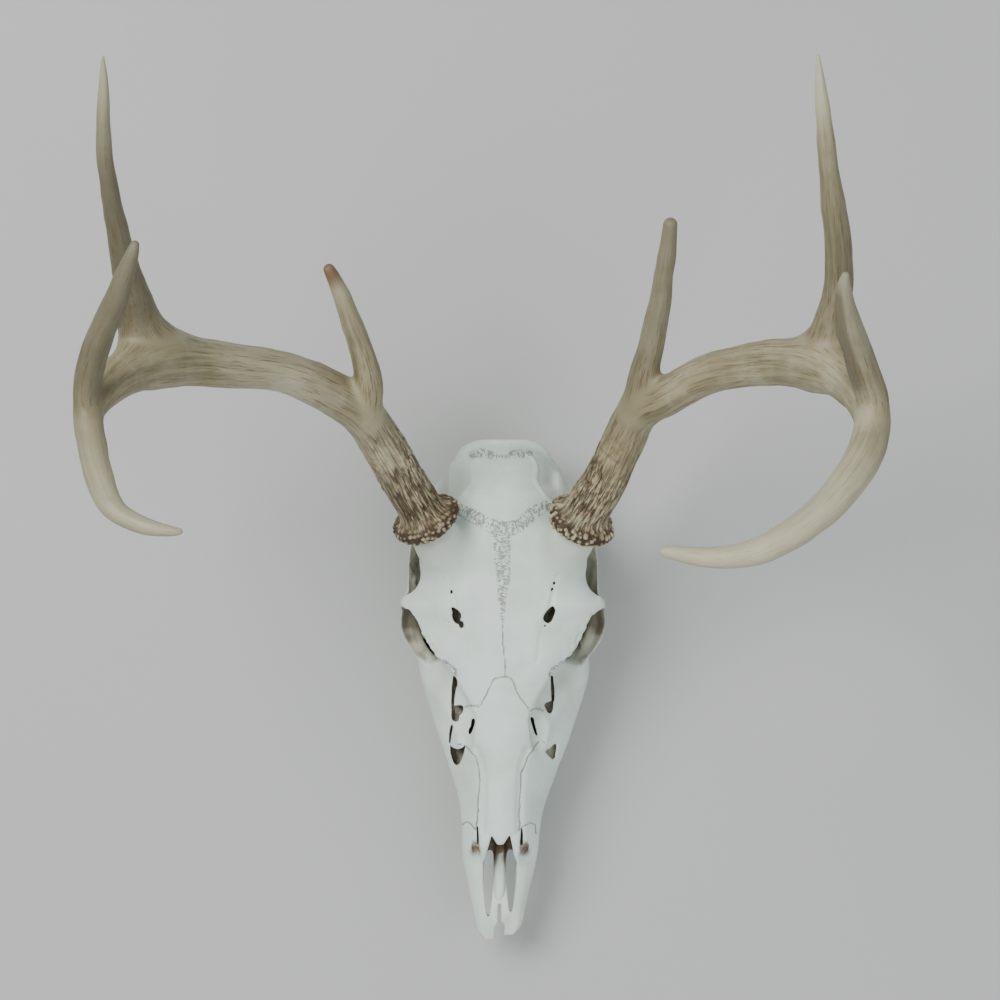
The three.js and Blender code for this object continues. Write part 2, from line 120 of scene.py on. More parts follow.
def makeFloor():
    half = floorSettings["size"] / 2
    mesh = bpy.data.meshes.new("floor")
    mesh.from_pydata([(-half, -half, 0), (half, -half, 0), (half, half, 0), (-half, half, 0)], [],
                     [(0, 1, 2, 3)])
    floor = bpy.data.objects.new("floor", mesh)
    material = bpy.data.materials.new("floor")
    material.use_nodes = True
    shader = material.node_tree.nodes["Principled BSDF"]
    shader.inputs["Base Color"].default_value = (*floorSettings["color"], 1)
    shader.inputs["Roughness"].default_value = 0.85
    mesh.materials.append(material)
    bpy.context.scene.collection.objects.link(floor)


makeCamera()
makeLights()
makeFloor()
print("camera, lights and floor are set")


# small tools for shapes held as distance fields, in millimetres
def spot(a, b, centreA, centreB, reachA, reachB):
    # a soft patch: 1 at its centre, and less further out
    return np.exp(-(((a - centreA) / reachA) ** 2) - ((b - centreB) / reachB) ** 2)


def smooth(low, high, value):
    t = np.clip((value - low) / (high - low), 0, 1)
    return t * t * (3 - 2 * t)


def join(a, b, soft):
    h = np.clip(0.5 + 0.5 * (b - a) / soft, 0, 1)
    return b * (1 - h) + a * h - soft * h * (1 - h)


def cutFrom(a, b, soft):
    return -join(-a, b, soft)


cubeCorners = [np.array([i & 1, i >> 1 & 1, i >> 2]) for i in range(8)]


def cellNumber(cells, seed):
    return cells @ np.array([73856093, 19349663, 83492791]) + seed * 7919


def scramble(number, extra=0):
    # turns whole numbers into others below 2**32 that look random, the same each run
    number = ((number ^ (number >> 15)) * 2246822519 + extra) & 0xFFFFFFFF
    return ((number ^ (number >> 13)) * 3266489917) & 0xFFFFFFFF


def noise(points, size, seed=0):
    # smooth waves between -1 and 1, about as long as the size
    p = points / size
    base = np.floor(p).astype(np.int64)
    part = p - base
    part = part * part * (3 - 2 * part)
    total = np.zeros(points.shape[:-1])
    for step in cubeCorners:
        mixed = scramble(cellNumber(base + step, seed))
        mixed = mixed ^ (mixed >> 16)
        weight = np.prod(np.where(step, part, 1 - part), axis=-1)
        total += weight * (mixed / 2**31 - 1)
    return total


def lineAt(points, y):
    ys, values = np.array(points, float).T
    slopes = np.gradient(values, ys)
    slopes[1:-1] = (values[2:] - values[:-2]) / (ys[2:] - ys[:-2])
    i = np.clip(np.searchsorted(ys, y, side="right") - 1, 0, len(ys) - 2)
    step = ys[i + 1] - ys[i]
    t = np.clip((y - ys[i]) / step, 0, 1)
    rise = (values[i + 1] - values[i]) * t * t * (3 - 2 * t)
    return values[i] + rise + step * (slopes[i] * t * (1 - t) ** 2 - slopes[i + 1] * t * t * (1 - t))


def curvePoints(keys, count, closed=False):
    keys = np.array(keys, float)
    if closed:
        padded = np.concatenate([keys[-1:], keys, keys[:2]])
    else:
        padded = np.concatenate([2 * keys[:1] - keys[1:2], keys, 2 * keys[-1:] - keys[-2:-1]])
    spans = len(padded) - 3
    t = np.linspace(0, spans, count, endpoint=not closed)
    i = np.minimum(t.astype(int), spans - 1)
    t = (t - i)[:, None]
    a, b, c, d = (padded[i + k] for k in range(4))
    return 0.5 * (2 * b + (c - a) * t + (2 * a - 5 * b + 4 * c - d) * t**2 + (3 * b - a - 3 * c + d) * t**3)


def polygonDistance(outline, a, b):
    # distance in a plane from a closed outline, less than zero inside
    best = np.full(np.broadcast(a, b).shape, 1e9, np.float32)
    inside = np.zeros(best.shape, bool)
    for (a0, b0), (a1, b1) in zip(outline, outline[1:] + outline[:1]):
        ea, eb = a1 - a0, b1 - b0
        t = np.clip(((a - a0) * ea + (b - b0) * eb) / (ea * ea + eb * eb), 0, 1)
        best = np.minimum(best, np.hypot(a - a0 - ea * t, b - b0 - eb * t))
        if eb:
            crosses = ((b0 > b) != (b1 > b)) & (a < a0 + ea * (b - b0) / eb)
            inside ^= crosses
    return np.where(inside, -best, best)


def ellipsoid(centre, radii, x, y, z, turn=0.0, lean=0.0):
    # turn is about Z and lean about Y, both in radians
    px, py, pz = x - centre[0], y - centre[1], z - centre[2]
    px, py = px * math.cos(turn) + py * math.sin(turn), py * math.cos(turn) - px * math.sin(turn)
    px, pz = px * math.cos(lean) - pz * math.sin(lean), pz * math.cos(lean) + px * math.sin(lean)
    a = np.sqrt((px / radii[0]) ** 2 + (py / radii[1]) ** 2 + (pz / radii[2]) ** 2)
    b = np.sqrt((px / radii[0] ** 2) ** 2 + (py / radii[1] ** 2) ** 2 + (pz / radii[2] ** 2) ** 2)
    return a * (a - 1) / np.maximum(b, 1e-6)


def limbDistance(points, x, y, z, flat=1.0, lean=0.0):
    # a chain of tapered round lengths; flat squeezes it across X, and lean slants it to X as it rises
    best = None
    x = x - lean * z
    for (x0, y0, z0, r0), (x1, y1, z1, r1) in zip(points[:-1], points[1:]):
        x0, x1 = (x0 - lean * z0) / flat, (x1 - lean * z1) / flat
        ex, ey, ez = x1 - x0, y1 - y0, z1 - z0
        px, py, pz = x / flat - x0, y - y0, z - z0
        t = np.clip((px * ex + py * ey + pz * ez) / (ex * ex + ey * ey + ez * ez), 0, 1)
        d = np.sqrt((px - ex * t) ** 2 + (py - ey * t) ** 2 + (pz - ez * t) ** 2) - (r0 + (r1 - r0) * t)
        best = d if best is None else np.minimum(best, d)
    return best * math.sqrt(flat)


class Block:
    # a block of space with a distance in each of its cells; shapes are joined to it or cut from it
    def __init__(self, low, high, step):
        self.low, self.step = np.array(low, float), step
        counts = np.ceil((np.array(high, float) - self.low) / step).astype(int) + 1
        self.axes = [(self.low[i] + step * np.arange(counts[i])).astype(np.float32) for i in range(3)]
        self.values = np.full(counts, 60, np.float32)

    def part(self, low, high):
        cut = tuple(
            slice(*np.searchsorted(axis, [low[i] - self.step, high[i] + self.step]))
            for i, axis in enumerate(self.axes)
        )
        x, y, z = (self.axes[i][cut[i]] for i in range(3))
        return cut, x[:, None, None], y[None, :, None], z[None, None, :]

    def add(self, shape, low, high, soft=1.0):
        cut, x, y, z = self.part(low, high)
        self.values[cut] = join(self.values[cut], shape(x, y, z), soft)

    def carve(self, shape, low, high, soft=1.0):
        cut, x, y, z = self.part(low, high)
        self.values[cut] = cutFrom(self.values[cut], shape(x, y, z), soft)

    def addBall(self, centre, radii, soft=1.0, turn=0.0, lean=0.0, carved=False):
        reach = max(radii) + 3 * soft
        low, high = [c - reach for c in centre], [c + reach for c in centre]
        change = self.carve if carved else self.add
        change(lambda x, y, z: ellipsoid(centre, radii, x, y, z, turn, lean), low, high, soft)

    def addLimb(self, keys, soft=1.0, flat=1.0, lean=0.0, count=14, carved=False):
        points = curvePoints(keys, count)
        reach = points[:, 3:].max() + 3 * soft
        low, high = points[:, :3].min(0) - reach, points[:, :3].max(0) + reach
        change = self.carve if carved else self.add
        change(lambda x, y, z: limbDistance(points.tolist(), x, y, z, flat, lean), low, high, soft)

    def carvePlan(self, outline, low, high, soft=1.0):
        # cuts straight down through an outline seen from above, from one height to another
        edge = curvePoints(outline, 4 * len(outline), closed=True)
        near = [edge[:, i].min() - 3 for i in (0, 1)]
        far = [edge[:, i].max() + 3 for i in (0, 1)]
        sides = edge.tolist()
        self.carve(
            lambda x, y, z: np.maximum(polygonDistance(sides, x, y), low - z), (*near, low - 2),
            (*far, high), soft
        )

    def at(self, points):
        place = np.clip((points - self.low) / self.step, 0, np.array(self.values.shape) - 1.001)
        i = place.astype(int)
        t = place - i
        total = np.zeros(len(points))
        for step in cubeCorners:
            weight = np.prod(np.where(step, t, 1 - t), axis=1)
            total += weight * self.values[tuple((i + step).T)]
        return total

    def slope(self, points):
        reach = self.step * 0.75
        shifts = np.eye(3) * reach
        rise = np.stack([self.at(points + s) - self.at(points - s) for s in shifts], 1)
        return rise / np.maximum(np.linalg.norm(rise, axis=1, keepdims=True), 1e-9)

    def skin(self):
        # one point in each cell that the surface passes through, and a face over each edge that it crosses
        inside = self.values < 0
        cells = np.array(inside.shape) - 1
        filled = np.zeros(cells, np.uint8)
        for corner in cubeCorners:
            filled += inside[tuple(slice(c, c + n) for c, n in zip(corner, cells))]
        mixed = (filled > 0) & (filled < 8)
        number = np.full(cells, -1, np.int32)
        places = np.argwhere(mixed)
        number[mixed] = np.arange(len(places))
        total, hits = np.zeros((len(places), 3)), np.zeros(len(places))
        faces = []
        for axis in range(3):
            along = np.eye(3, dtype=int)[axis]
            first, second = np.eye(3, dtype=int)[(axis + 1) % 3], np.eye(3, dtype=int)[(axis + 2) % 3]
            for side in (0 * first, first, second, first + second):
                start = self.values[tuple((places + side).T)]
                end = self.values[tuple((places + side + along).T)]
                crossed = (start < 0) != (end < 0)
                share = start[crossed] / (start[crossed] - end[crossed])
                total[crossed] += side + along * share[:, None]
                hits[crossed] += 1
            before = [slice(0, n) for n in inside.shape]
            after = [slice(0, n) for n in inside.shape]
            before[axis], after[axis] = slice(0, -1), slice(1, None)
            edges = np.argwhere(inside[tuple(before)] != inside[tuple(after)])
            edges = edges[(edges[:, (axis + 1) % 3] > 0) & (edges[:, (axis + 2) % 3] > 0)]
            edges = edges[(edges < cells).all(1)]
            ring = [number[tuple((edges - s).T)] for s in (0 * first, first, first + second, second)]
            quads = np.stack(ring, 1)
            flip = ~inside[tuple(edges.T)]
            quads[flip] = quads[flip][:, ::-1]
            faces.append(quads)
        points = self.low + self.step * (places + total / hits[:, None])
        return points, np.concatenate(faces)


def meshNormals(points, faces):
    # the mean way that the faces about each point look, larger faces counting for more
    a, b, c, d = (points[faces[:, i]] for i in range(4))
    ways = np.cross(c - a, d - b)
    total = [np.bincount(faces.ravel(), np.repeat(ways[:, i], 4), len(points)) for i in range(3)]
    total = np.stack(total, 1)
    return total / np.maximum(np.linalg.norm(total, axis=1, keepdims=True), 1e-12)


def moveOut(points, faces, normals, relief):
    # moves the points along their normals, and turns the normals with the new slopes
    moved = points + normals * relief[:, None]
    turned = normals + meshNormals(moved, faces) - meshNormals(points, faces)
    return moved, turned / np.maximum(np.linalg.norm(turned, axis=1, keepdims=True), 1e-9)


def placePiece(name, points, faces, normals, values, material, nodes):
    # keeps the points that the faces use, and writes each set of values on them
    used, inverse = np.unique(faces, return_inverse=True)
    faces = inverse.reshape(faces.shape).astype(np.int32)
    mesh = bpy.data.meshes.new(name)
    mesh.vertices.add(len(used))
    mesh.vertices.foreach_set("co", toFrame(points[used]).astype(np.float32).ravel())
    mesh.loops.add(faces.size)
    mesh.loops.foreach_set("vertex_index", faces.ravel())
    mesh.polygons.add(len(faces))
    mesh.polygons.foreach_set("loop_start", np.arange(0, faces.size, 4, dtype=np.int32))
    mesh.update(calc_edges=True)
    mesh.polygons.foreach_set("use_smooth", np.ones(len(faces), bool))
    for key, value in values.items():
        kind = "FLOAT_VECTOR" if value.ndim == 2 else "FLOAT"
        field = "vector" if value.ndim == 2 else "value"
        attribute = mesh.attributes.new(key, kind, "POINT")
        attribute.data.foreach_set(field, value[used].astype(np.float32).ravel())
    mesh.normals_split_custom_set_from_vertices(normals[used].astype(np.float32))
    mesh.materials.append(material)
    piece = bpy.data.objects.new(name, mesh)
    bpy.context.scene.collection.objects.link(piece)
    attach(piece, "root")
    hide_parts(*nodes)


# node groups and materials
def node(tree, kind, **settings):
    made = tree.nodes.new(kind)
    for key, value in settings.items():
        setattr(made, key, value)
    return made


def feed(tree, made, values):
    # each value, a link or a constant, goes to the socket it is named or numbered for
    for key, value in values.items():
        if isinstance(value, bpy.types.NodeSocket):
            tree.links.new(value, made.inputs[key])
        else:
            made.inputs[key].default_value = (*value, 1) if isinstance(value, tuple) else value


class Mixer:
    # the sums, ramps and mixes that a material's colour and height are made of
    def __init__(self, tree):
        self.tree = tree

    def made(self, kind, values, output=0, **settings):
        new = node(self.tree, kind, **settings)
        feed(self.tree, new, values)
        return new.outputs[output]

    def sum(self, operation, *values):
        return self.made("ShaderNodeMath", dict(enumerate(values)), operation=operation)

    def times(self, a, b):
        return self.sum("MULTIPLY", a, b)

    def plus(self, a, b):
        return self.sum("ADD", a, b)

    def minus(self, a, b):
        return self.sum("SUBTRACT", a, b)

    def fromHalf(self, value):
        return self.sum("ABSOLUTE", self.minus(value, 0.5))

    def attribute(self, name, output="Fac"):
        return self.made("ShaderNodeAttribute", {}, output, attribute_name=name, attribute_type="GEOMETRY")

    def noise(self, vector, scale, detail=3, roughness=0.5):
        values = {"Vector": vector, "Scale": scale, "Detail": detail, "Roughness": roughness}
        return self.made("ShaderNodeTexNoise", values)

    def ramp(self, value, low, high, outLow=0.0, outHigh=1.0):
        values = {"Value": value, "From Min": low, "From Max": high, "To Min": outLow, "To Max": outHigh}
        return self.made("ShaderNodeMapRange", values, interpolation_type="SMOOTHSTEP")

    def mix(self, share, a, b):
        return self.made("ShaderNodeMix", {0: share, 6: a, 7: b}, 2, data_type="RGBA")

    def place(self, *values):
        return self.made("ShaderNodeCombineXYZ", dict(enumerate(values)))

    def parts(self, vector):
        new = node(self.tree, "ShaderNodeSeparateXYZ")
        feed(self.tree, new, {0: vector})
        return new.outputs

    def stretch(self, vector, scale):
        new = node(self.tree, "ShaderNodeVectorMath", operation="MULTIPLY")
        self.tree.links.new(vector, new.inputs[0])
        new.inputs[1].default_value = scale
        return new.outputs[0]

    def bump(self, height, strength, distance):
        values = {"Height": height, "Strength": strength, "Distance": distance}
        return self.made("ShaderNodeBump", values)


def makeWeathering():
    # soft blotches, fine grain and open pores, from the place on the object; each has its scale as an input
    group = bpy.data.node_groups.new("weathering", "ShaderNodeTree")
    for name in ("Blotch", "Grain", "Pores"):
        for way in ("INPUT", "OUTPUT"):
            group.interface.new_socket(name=name, in_out=way, socket_type="NodeSocketFloat")
    m = Mixer(group)
    scales = node(group, "NodeGroupInput").outputs
    place = node(group, "ShaderNodeTexCoord").outputs["Object"]
    blotch = m.noise(place, scales["Blotch"], 5, 0.6)
    grain = m.noise(place, scales["Grain"], 4)
    pores = m.made("ShaderNodeTexVoronoi", {"Vector": place, "Scale": scales["Pores"]}, "Distance")
    deep = m.ramp(pores, 0.05, 0.3, 1, 0)
    feed(group, node(group, "NodeGroupOutput"), {"Blotch": blotch, "Grain": grain, "Pores": deep})
    return group


def startMaterial(name, look):
    # a new material, and the shared weathering at the scales of this look
    material = bpy.data.materials.new(name)
    material.use_nodes = True
    tree = material.node_tree
    worn = node(tree, "ShaderNodeGroup", node_tree=weathering)
    feed(tree, worn, {"Blotch": look["blotchScale"], "Grain": look["grainScale"],
                      "Pores": look["poreScale"]})
    return material, Mixer(tree), worn.outputs


def endMaterial(material, color, gloss, normal):
    shader = material.node_tree.nodes["Principled BSDF"]
    feed(material.node_tree, shader, {"Base Color": color, "Roughness": gloss, "Normal": normal})
    return material


weathering = makeWeathering()

boneLook = {
    "pale": (0.80, 0.92, 0.865),
    "cool": (0.645, 0.765, 0.685),
    "beige": (0.46, 0.42, 0.32),
    "deepShade": (0.10, 0.08, 0.055),
    "brown": (0.155, 0.092, 0.038),
    "suture": (0.25, 0.26, 0.225),
    "enamel": (0.72, 0.69, 0.60),
    "blotchScale": 26,
    "grainScale": 900,
    "poreScale": 620,
    "roughness": 0.66,
}


def makeBone():
    look = boneLook
    material, m, (blotch, grain, pores) = startMaterial("bone", look)
    hollow, stainAndShade, warm, tooth, rough = (m.attribute(k) for k in ("hollow", "stainAndShade", "warm", "tooth",
    "rough"))
    along, away, knit = m.parts(m.attribute("seam", "Vector"))
    # a line where bones meet plainly, and small worm-like marks in the band where they interlock
    bandPlace = m.place(m.times(along, 0.62), m.times(m.attribute("seamSide"), 0.26))
    worms = m.noise(bandPlace, 1.0, 1.0)
    wormLine = m.ramp(m.fromHalf(worms), 0.045, 0.1, 1, 0)
    patch = m.ramp(m.noise(bandPlace, 0.9, 1.0), 0.36, 0.5)
    inset = m.minus(m.plus(away, m.times(worms, 2.0)), knit)
    band = m.times(m.ramp(inset, 0.4, 1.6, 1, 0), m.ramp(knit, 0.3, 0.9))
    wormMask = m.times(m.times(wormLine, band), patch)
    fade = m.ramp(m.noise(m.place(along), 0.22, 2), 0.34, 0.5, 0.8, 1)
    lineMask = m.times(m.ramp(away, 0.2, 0.62, 1, 0), m.ramp(knit, 0.0, 2.0, 1, 0))
    seamMask = m.sum("MAXIMUM", m.times(lineMask, fade), wormMask)
    color = m.mix(m.ramp(blotch, 0.35, 0.7), look["pale"], look["cool"])
    color = m.mix(m.times(warm, 0.6), color, look["beige"])
    # painted shade: the bone turns beige and then near black where it is sheltered (the hollow attribute),
    # broken up a little by the blotches
    shadeAndBlotch = m.plus(hollow, m.times(m.minus(blotch, 0.5), 0.3))
    color = m.mix(m.ramp(shadeAndBlotch, 0.28, 0.68, 0, 0.85), color, look["beige"])
    color = m.mix(m.ramp(shadeAndBlotch, 0.62, 0.98, 0, 0.9), color, look["deepShade"])
    color = m.mix(m.times(tooth, 0.8), color, look["enamel"])
    # brown stain in the nose, with painted shade in the deep gaps of the face
    color = m.mix(stainAndShade, color, look["brown"])
    color = m.mix(m.times(seamMask, 0.85), color, look["suture"])
    speck = m.times(pores, m.plus(m.times(rough, 0.5), 0.03))
    color = m.mix(speck, color, look["beige"])
    gloss = m.minus(look["roughness"], m.times(grain, 0.16))
    gloss = m.minus(gloss, m.times(tooth, 0.2))
    height = m.minus(m.times(grain, 0.25), m.times(speck, 1.5))
    height = m.minus(height, m.times(seamMask, 1.6))
    return endMaterial(material, color, gloss, m.bump(height, 0.55, 0.0004))


bone = makeBone()
print("bone is mixed")

antlerLook = {
    "tan": (0.34, 0.295, 0.17),
    "ivory": (0.52, 0.495, 0.35),
    "olive": (0.205, 0.182, 0.10),
    "dusk": (0.125, 0.11, 0.065),
    "brown": (0.135, 0.082, 0.034),
    "dark": (0.048, 0.027, 0.010),
    "cream": (0.63, 0.56, 0.37),
    "rust": (0.165, 0.092, 0.034),
    "blotchScale": 22,
    "grainScale": 800,
    "poreScale": 420,
    "roughness": 0.5,
}


def makeAntlerMaterial(name, brownness):
    look = antlerLook
    material, m, (blotch, grain, pores) = startMaterial(name, look)
    along = m.attribute("along", "Vector")
    groove, ridge, pit, foot, toTip = (m.attribute(k) for k in ("groove", "ridge", "pit", "foot", "toTip"))
    calm, shade, rust, lined = (m.attribute(k) for k in ("calm", "shade", "rust", "lined"))
    lively = m.minus(1.0, calm)
    # streaks that run with the growth of the antler
    stretched = m.stretch(along, (1, 1, 0.035))
    fineStreak = m.noise(stretched, 1.1, 4, 0.62)
    wideStreak = m.noise(stretched, 0.34, 3, 0.55)
    color = m.mix(m.times(m.ramp(wideStreak, 0.4, 0.62), lively), look["tan"], look["olive"])
    color = m.mix(m.ramp(blotch, 0.42, 0.68, 0, 0.7), color, look["ivory"])
    color = m.mix(m.ramp(toTip, 0.0, 0.35, 0.75, 0.0), color, look["ivory"])
    streak = m.ramp(fineStreak, 0.52, 0.66)
    streakShare = m.times(m.times(m.ramp(toTip, 0.1, 0.7, 0.2, 0.85), streak), lively)
    # the shade attribute darkens towards dusk: each limb's own tone, and painted shade on the inner side of
    # the front tine
    color = m.mix(m.times(shade, 0.75), color, look["dusk"])
    color = m.mix(m.times(shade, -0.7), color, look["ivory"])  # where the shade is less than zero
    color = m.mix(m.times(rust, 0.9), color, look["rust"])
    color = m.mix(streakShare, color, look["brown"])
    footBrown = m.times(m.ramp(fineStreak, 0.42, 0.6), foot)
    color = m.mix(m.times(footBrown, brownness), color, look["brown"])
    color = m.mix(m.times(ridge, 0.75), color, look["cream"])
    # dark hair-thin grooves between pale ridges near the foot
    hair = m.fromHalf(m.noise(m.stretch(along, (1, 1, 0.1)), 0.62, 1.5))
    hairLine = m.times(m.ramp(hair, 0.02, 0.07, 1, 0), lined)
    hairRidge = m.times(m.ramp(hair, 0.09, 0.2), lined)
    color = m.mix(m.ramp(groove, 0.15, 0.75, 0, 0.6), color, look["dark"])
    color = m.mix(m.times(hairRidge, 0.4), color, look["cream"])
    color = m.mix(m.times(hairLine, 0.9), color, look["dark"])
    color = m.mix(m.ramp(pit, 0.2, 0.9), color, look["dark"])
    gloss = m.plus(look["roughness"], m.times(streak, 0.2))
    height = m.plus(m.times(fineStreak, lively), m.times(grain, 0.2))
    height = m.minus(height, m.times(pores, 0.15))
    height = m.minus(height, m.times(hairLine, 1.5))
    return endMaterial(material, color, gloss, m.bump(height, 0.6, 0.0005))


antler = makeAntlerMaterial("antler", 0.8)
burrFinish = makeAntlerMaterial("burr", 1.0)
print("antler and burr are mixed")

# the skull
skullLines = {
    # the face: nasal roof, cheek and tooth-bearing edge
    "roofZ": [(-255, 32), (-244, 37), (-231, 43), (-216, 49.5), (-206, 54), (-199, 62.5), (-193, 66),
              (-170, 73), (-147, 79), (-124, 85), (-101, 90), (-80, 90), (-64, 80)],
    "roofHalf": [(-255, 5), (-231, 9), (-206, 11), (-170, 12), (-147, 15), (-124, 18), (-101, 25),
                 (-64, 26)],
    "roofDrop": [(-255, 1), (-206, 3), (-190, 5), (-124, 5.5), (-80, 6.5)],
    "cheekHalf": [(-255, 8), (-251, 11.5), (-244, 14), (-231, 16.5), (-206, 21.5), (-182, 23), (-170, 25.3),
                  (-147, 32.8), (-124, 40.4), (-101, 46.8), (-90, 47.5), (-83, 45), (-74, 38), (-64, 28)],
    "cheekZ": [(-255, 29), (-231, 34), (-206, 40), (-170, 43), (-147, 44), (-124, 46), (-80, 48)],
    "alveolarHalf": [(-255, 6), (-231, 12), (-206, 16), (-182, 17), (-160, 25), (-124, 32), (-84, 34.5),
                     (-64, 24)],
    "alveolarZ": [(-255, 25), (-206, 29), (-172, 27), (-160, 21), (-84, 12), (-74, 16), (-64, 28)],
    "palateZ": [(-255, 28), (-206, 31), (-172, 31), (-160, 29), (-124, 27), (-64, 27)],
    # the forehead, down to its rims over the orbits
    "frontalZ": [(-112, 86), (-101, 90), (-84, 93.5), (-67, 96), (-50, 97.5), (-33, 98), (-14, 95.5),
                 (2, 88)],
    "frontalRim": [(-112, 20), (-101, 27), (-90, 35), (-85, 39.5), (-77, 43.5), (-67, 49), (-59, 56.5),
                   (-55, 54), (-50, 48.5), (-42, 45), (-30, 43), (-18, 37), (2, 29)],
    "frontalRimZ": [(-112, 76), (-90, 82), (-77, 83), (-59, 79), (-42, 79), (-30, 80), (-18, 77), (2, 70)],
    # the braincase
    "vaultZ": [(-96, 78), (-50, 93), (-30, 96), (-10, 94), (5, 89), (17, 80.5), (26, 69.5), (33, 55)],
    "vaultHalf": [(-96, 17), (-74, 22), (-50, 31), (-30, 35), (-10, 36.5), (5, 36), (9, 31.5), (17, 29.8),
                  (23, 27.6), (28.5, 24.5), (33, 19)],
    "vaultMidZ": [(-96, 56), (-30, 58), (5, 52), (33, 40)],
    "baseZ": [(-96, 38), (-50, 38), (-30, 35), (0, 27), (20, 22), (33, 22)],
}


def linesAt(y):
    return {key: float(lineAt(points, y)) for key, points in skullLines.items()}


def faceOutline(y):
    v = linesAt(y)
    shoulderZ = v["roofZ"] - v["roofDrop"]
    return [
        (0, v["roofZ"]),
        (v["roofHalf"], shoulderZ),
        ((v["roofHalf"] + v["cheekHalf"]) / 2 + 1, (shoulderZ + v["cheekZ"]) / 2 + 2),
        (v["cheekHalf"], v["cheekZ"]),
        (v["alveolarHalf"], v["alveolarZ"]),
        (v["alveolarHalf"] * 0.6, v["alveolarZ"]),
        (0, v["palateZ"]),
    ]


def foreheadOutline(y):
    v = linesAt(y)
    rim, rimZ = v["frontalRim"], v["frontalRimZ"]
    return [
        (0, v["frontalZ"]),
        (rim * 0.6, v["frontalZ"] - 2.5),
        (rim, rimZ),
        (rim - 5, rimZ - 5),
        (rim * 0.5, rimZ - 16),
        (0, rimZ - 18),
    ]


def vaultOutline(y):
    v = linesAt(y)
    top, mid, base, half = v["vaultZ"], v["vaultMidZ"], v["baseZ"], v["vaultHalf"]
    return [
        (0, top),
        (half * 0.66, top - (top - mid) * 0.2),
        (half, mid),
        (half * 0.74, base + (mid - base) * 0.2),
        (0, base),
    ]


noseHollow = {
    "openY": -199.5,
    "backY": -172,
    "roofThickness": 4,
    "floorThickness": 3.2,
    "half": [(-250, 6), (-241, 7), (-232, 8.4), (-222, 9.6), (-206, 9.6), (-199, 9.6)],
}


def noseOutline(y):
    v = linesAt(y)
    floor = v["palateZ"] + noseHollow["floorThickness"] + 5 * float(smooth(-215, -245, y))
    if y < noseHollow["openY"]:
        top, wide, shoulder = v["roofZ"] + 14, float(lineAt(noseHollow["half"], y)), 1.0
    else:
        top, wide, shoulder = v["roofZ"] - noseHollow["roofThickness"], v["roofHalf"], 0.6
    return [
        (0, top),
        (wide * shoulder, top - 1.5),
        (wide, (top + floor) / 2),
        (wide * 0.8, floor + 1.6),
        (0, floor),
    ]


def loftDistance(outline, low, high):
    # a table of the radius about a middle line, by station and by angle, read between its entries
    stations = np.arange(low, high + 0.5, 1.0)
    angles = np.linspace(-math.pi / 2, math.pi / 2, 241)
    radii, middles = [], []
    for y in stations:
        half = outline(y)
        ring = half + [(-x, z) for x, z in half[-2:0:-1]]
        curve = curvePoints(ring, 40 * len(ring), closed=True)
        right = curve[curve[:, 0] >= -1e-6]
        middle = (half[0][1] + half[-1][1]) / 2
        turn = np.arctan2(right[:, 1] - middle, right[:, 0])
        order = np.argsort(turn)
        radii.append(np.interp(angles, turn[order], np.hypot(right[:, 0], right[:, 1] - middle)[order]))
        middles.append(middle)
    radii, middles = np.array(radii, np.float32), np.array(middles)
    slopeY, slopeTurn = np.gradient(radii, 1.0, angles[1] - angles[0])
    steep = np.sqrt(1 + (slopeTurn / radii) ** 2 + slopeY**2).astype(np.float32)

    def distance(x, y, z):
        x, y, z = np.broadcast_arrays(x, y, z)
        place = np.clip((y - low), 0, len(stations) - 1.001)
        row = place.astype(np.int32)
        share = (place - row).astype(np.float32)
        height = z - np.interp(y[0, :, 0], stations, middles)[None, :, None].astype(np.float32)
        turn = np.arctan2(height, np.maximum(x, 1e-4))
        column = (turn + math.pi / 2) / math.pi * (len(angles) - 1)
        column = np.clip(column, 0, len(angles) - 1.001)
        i = column.astype(np.int32)
        t = column - i
        found = []
        for table in (radii, steep):
            a = table[row, i] * (1 - t) + table[row, i + 1] * t
            b = table[row + 1, i] * (1 - t) + table[row + 1, i + 1] * t
            found.append(a * (1 - share) + b * share)
        sideways = (np.hypot(x, height) - found[0]) / found[1]
        return np.maximum(sideways, np.maximum(low - y, y - high))

    return distance


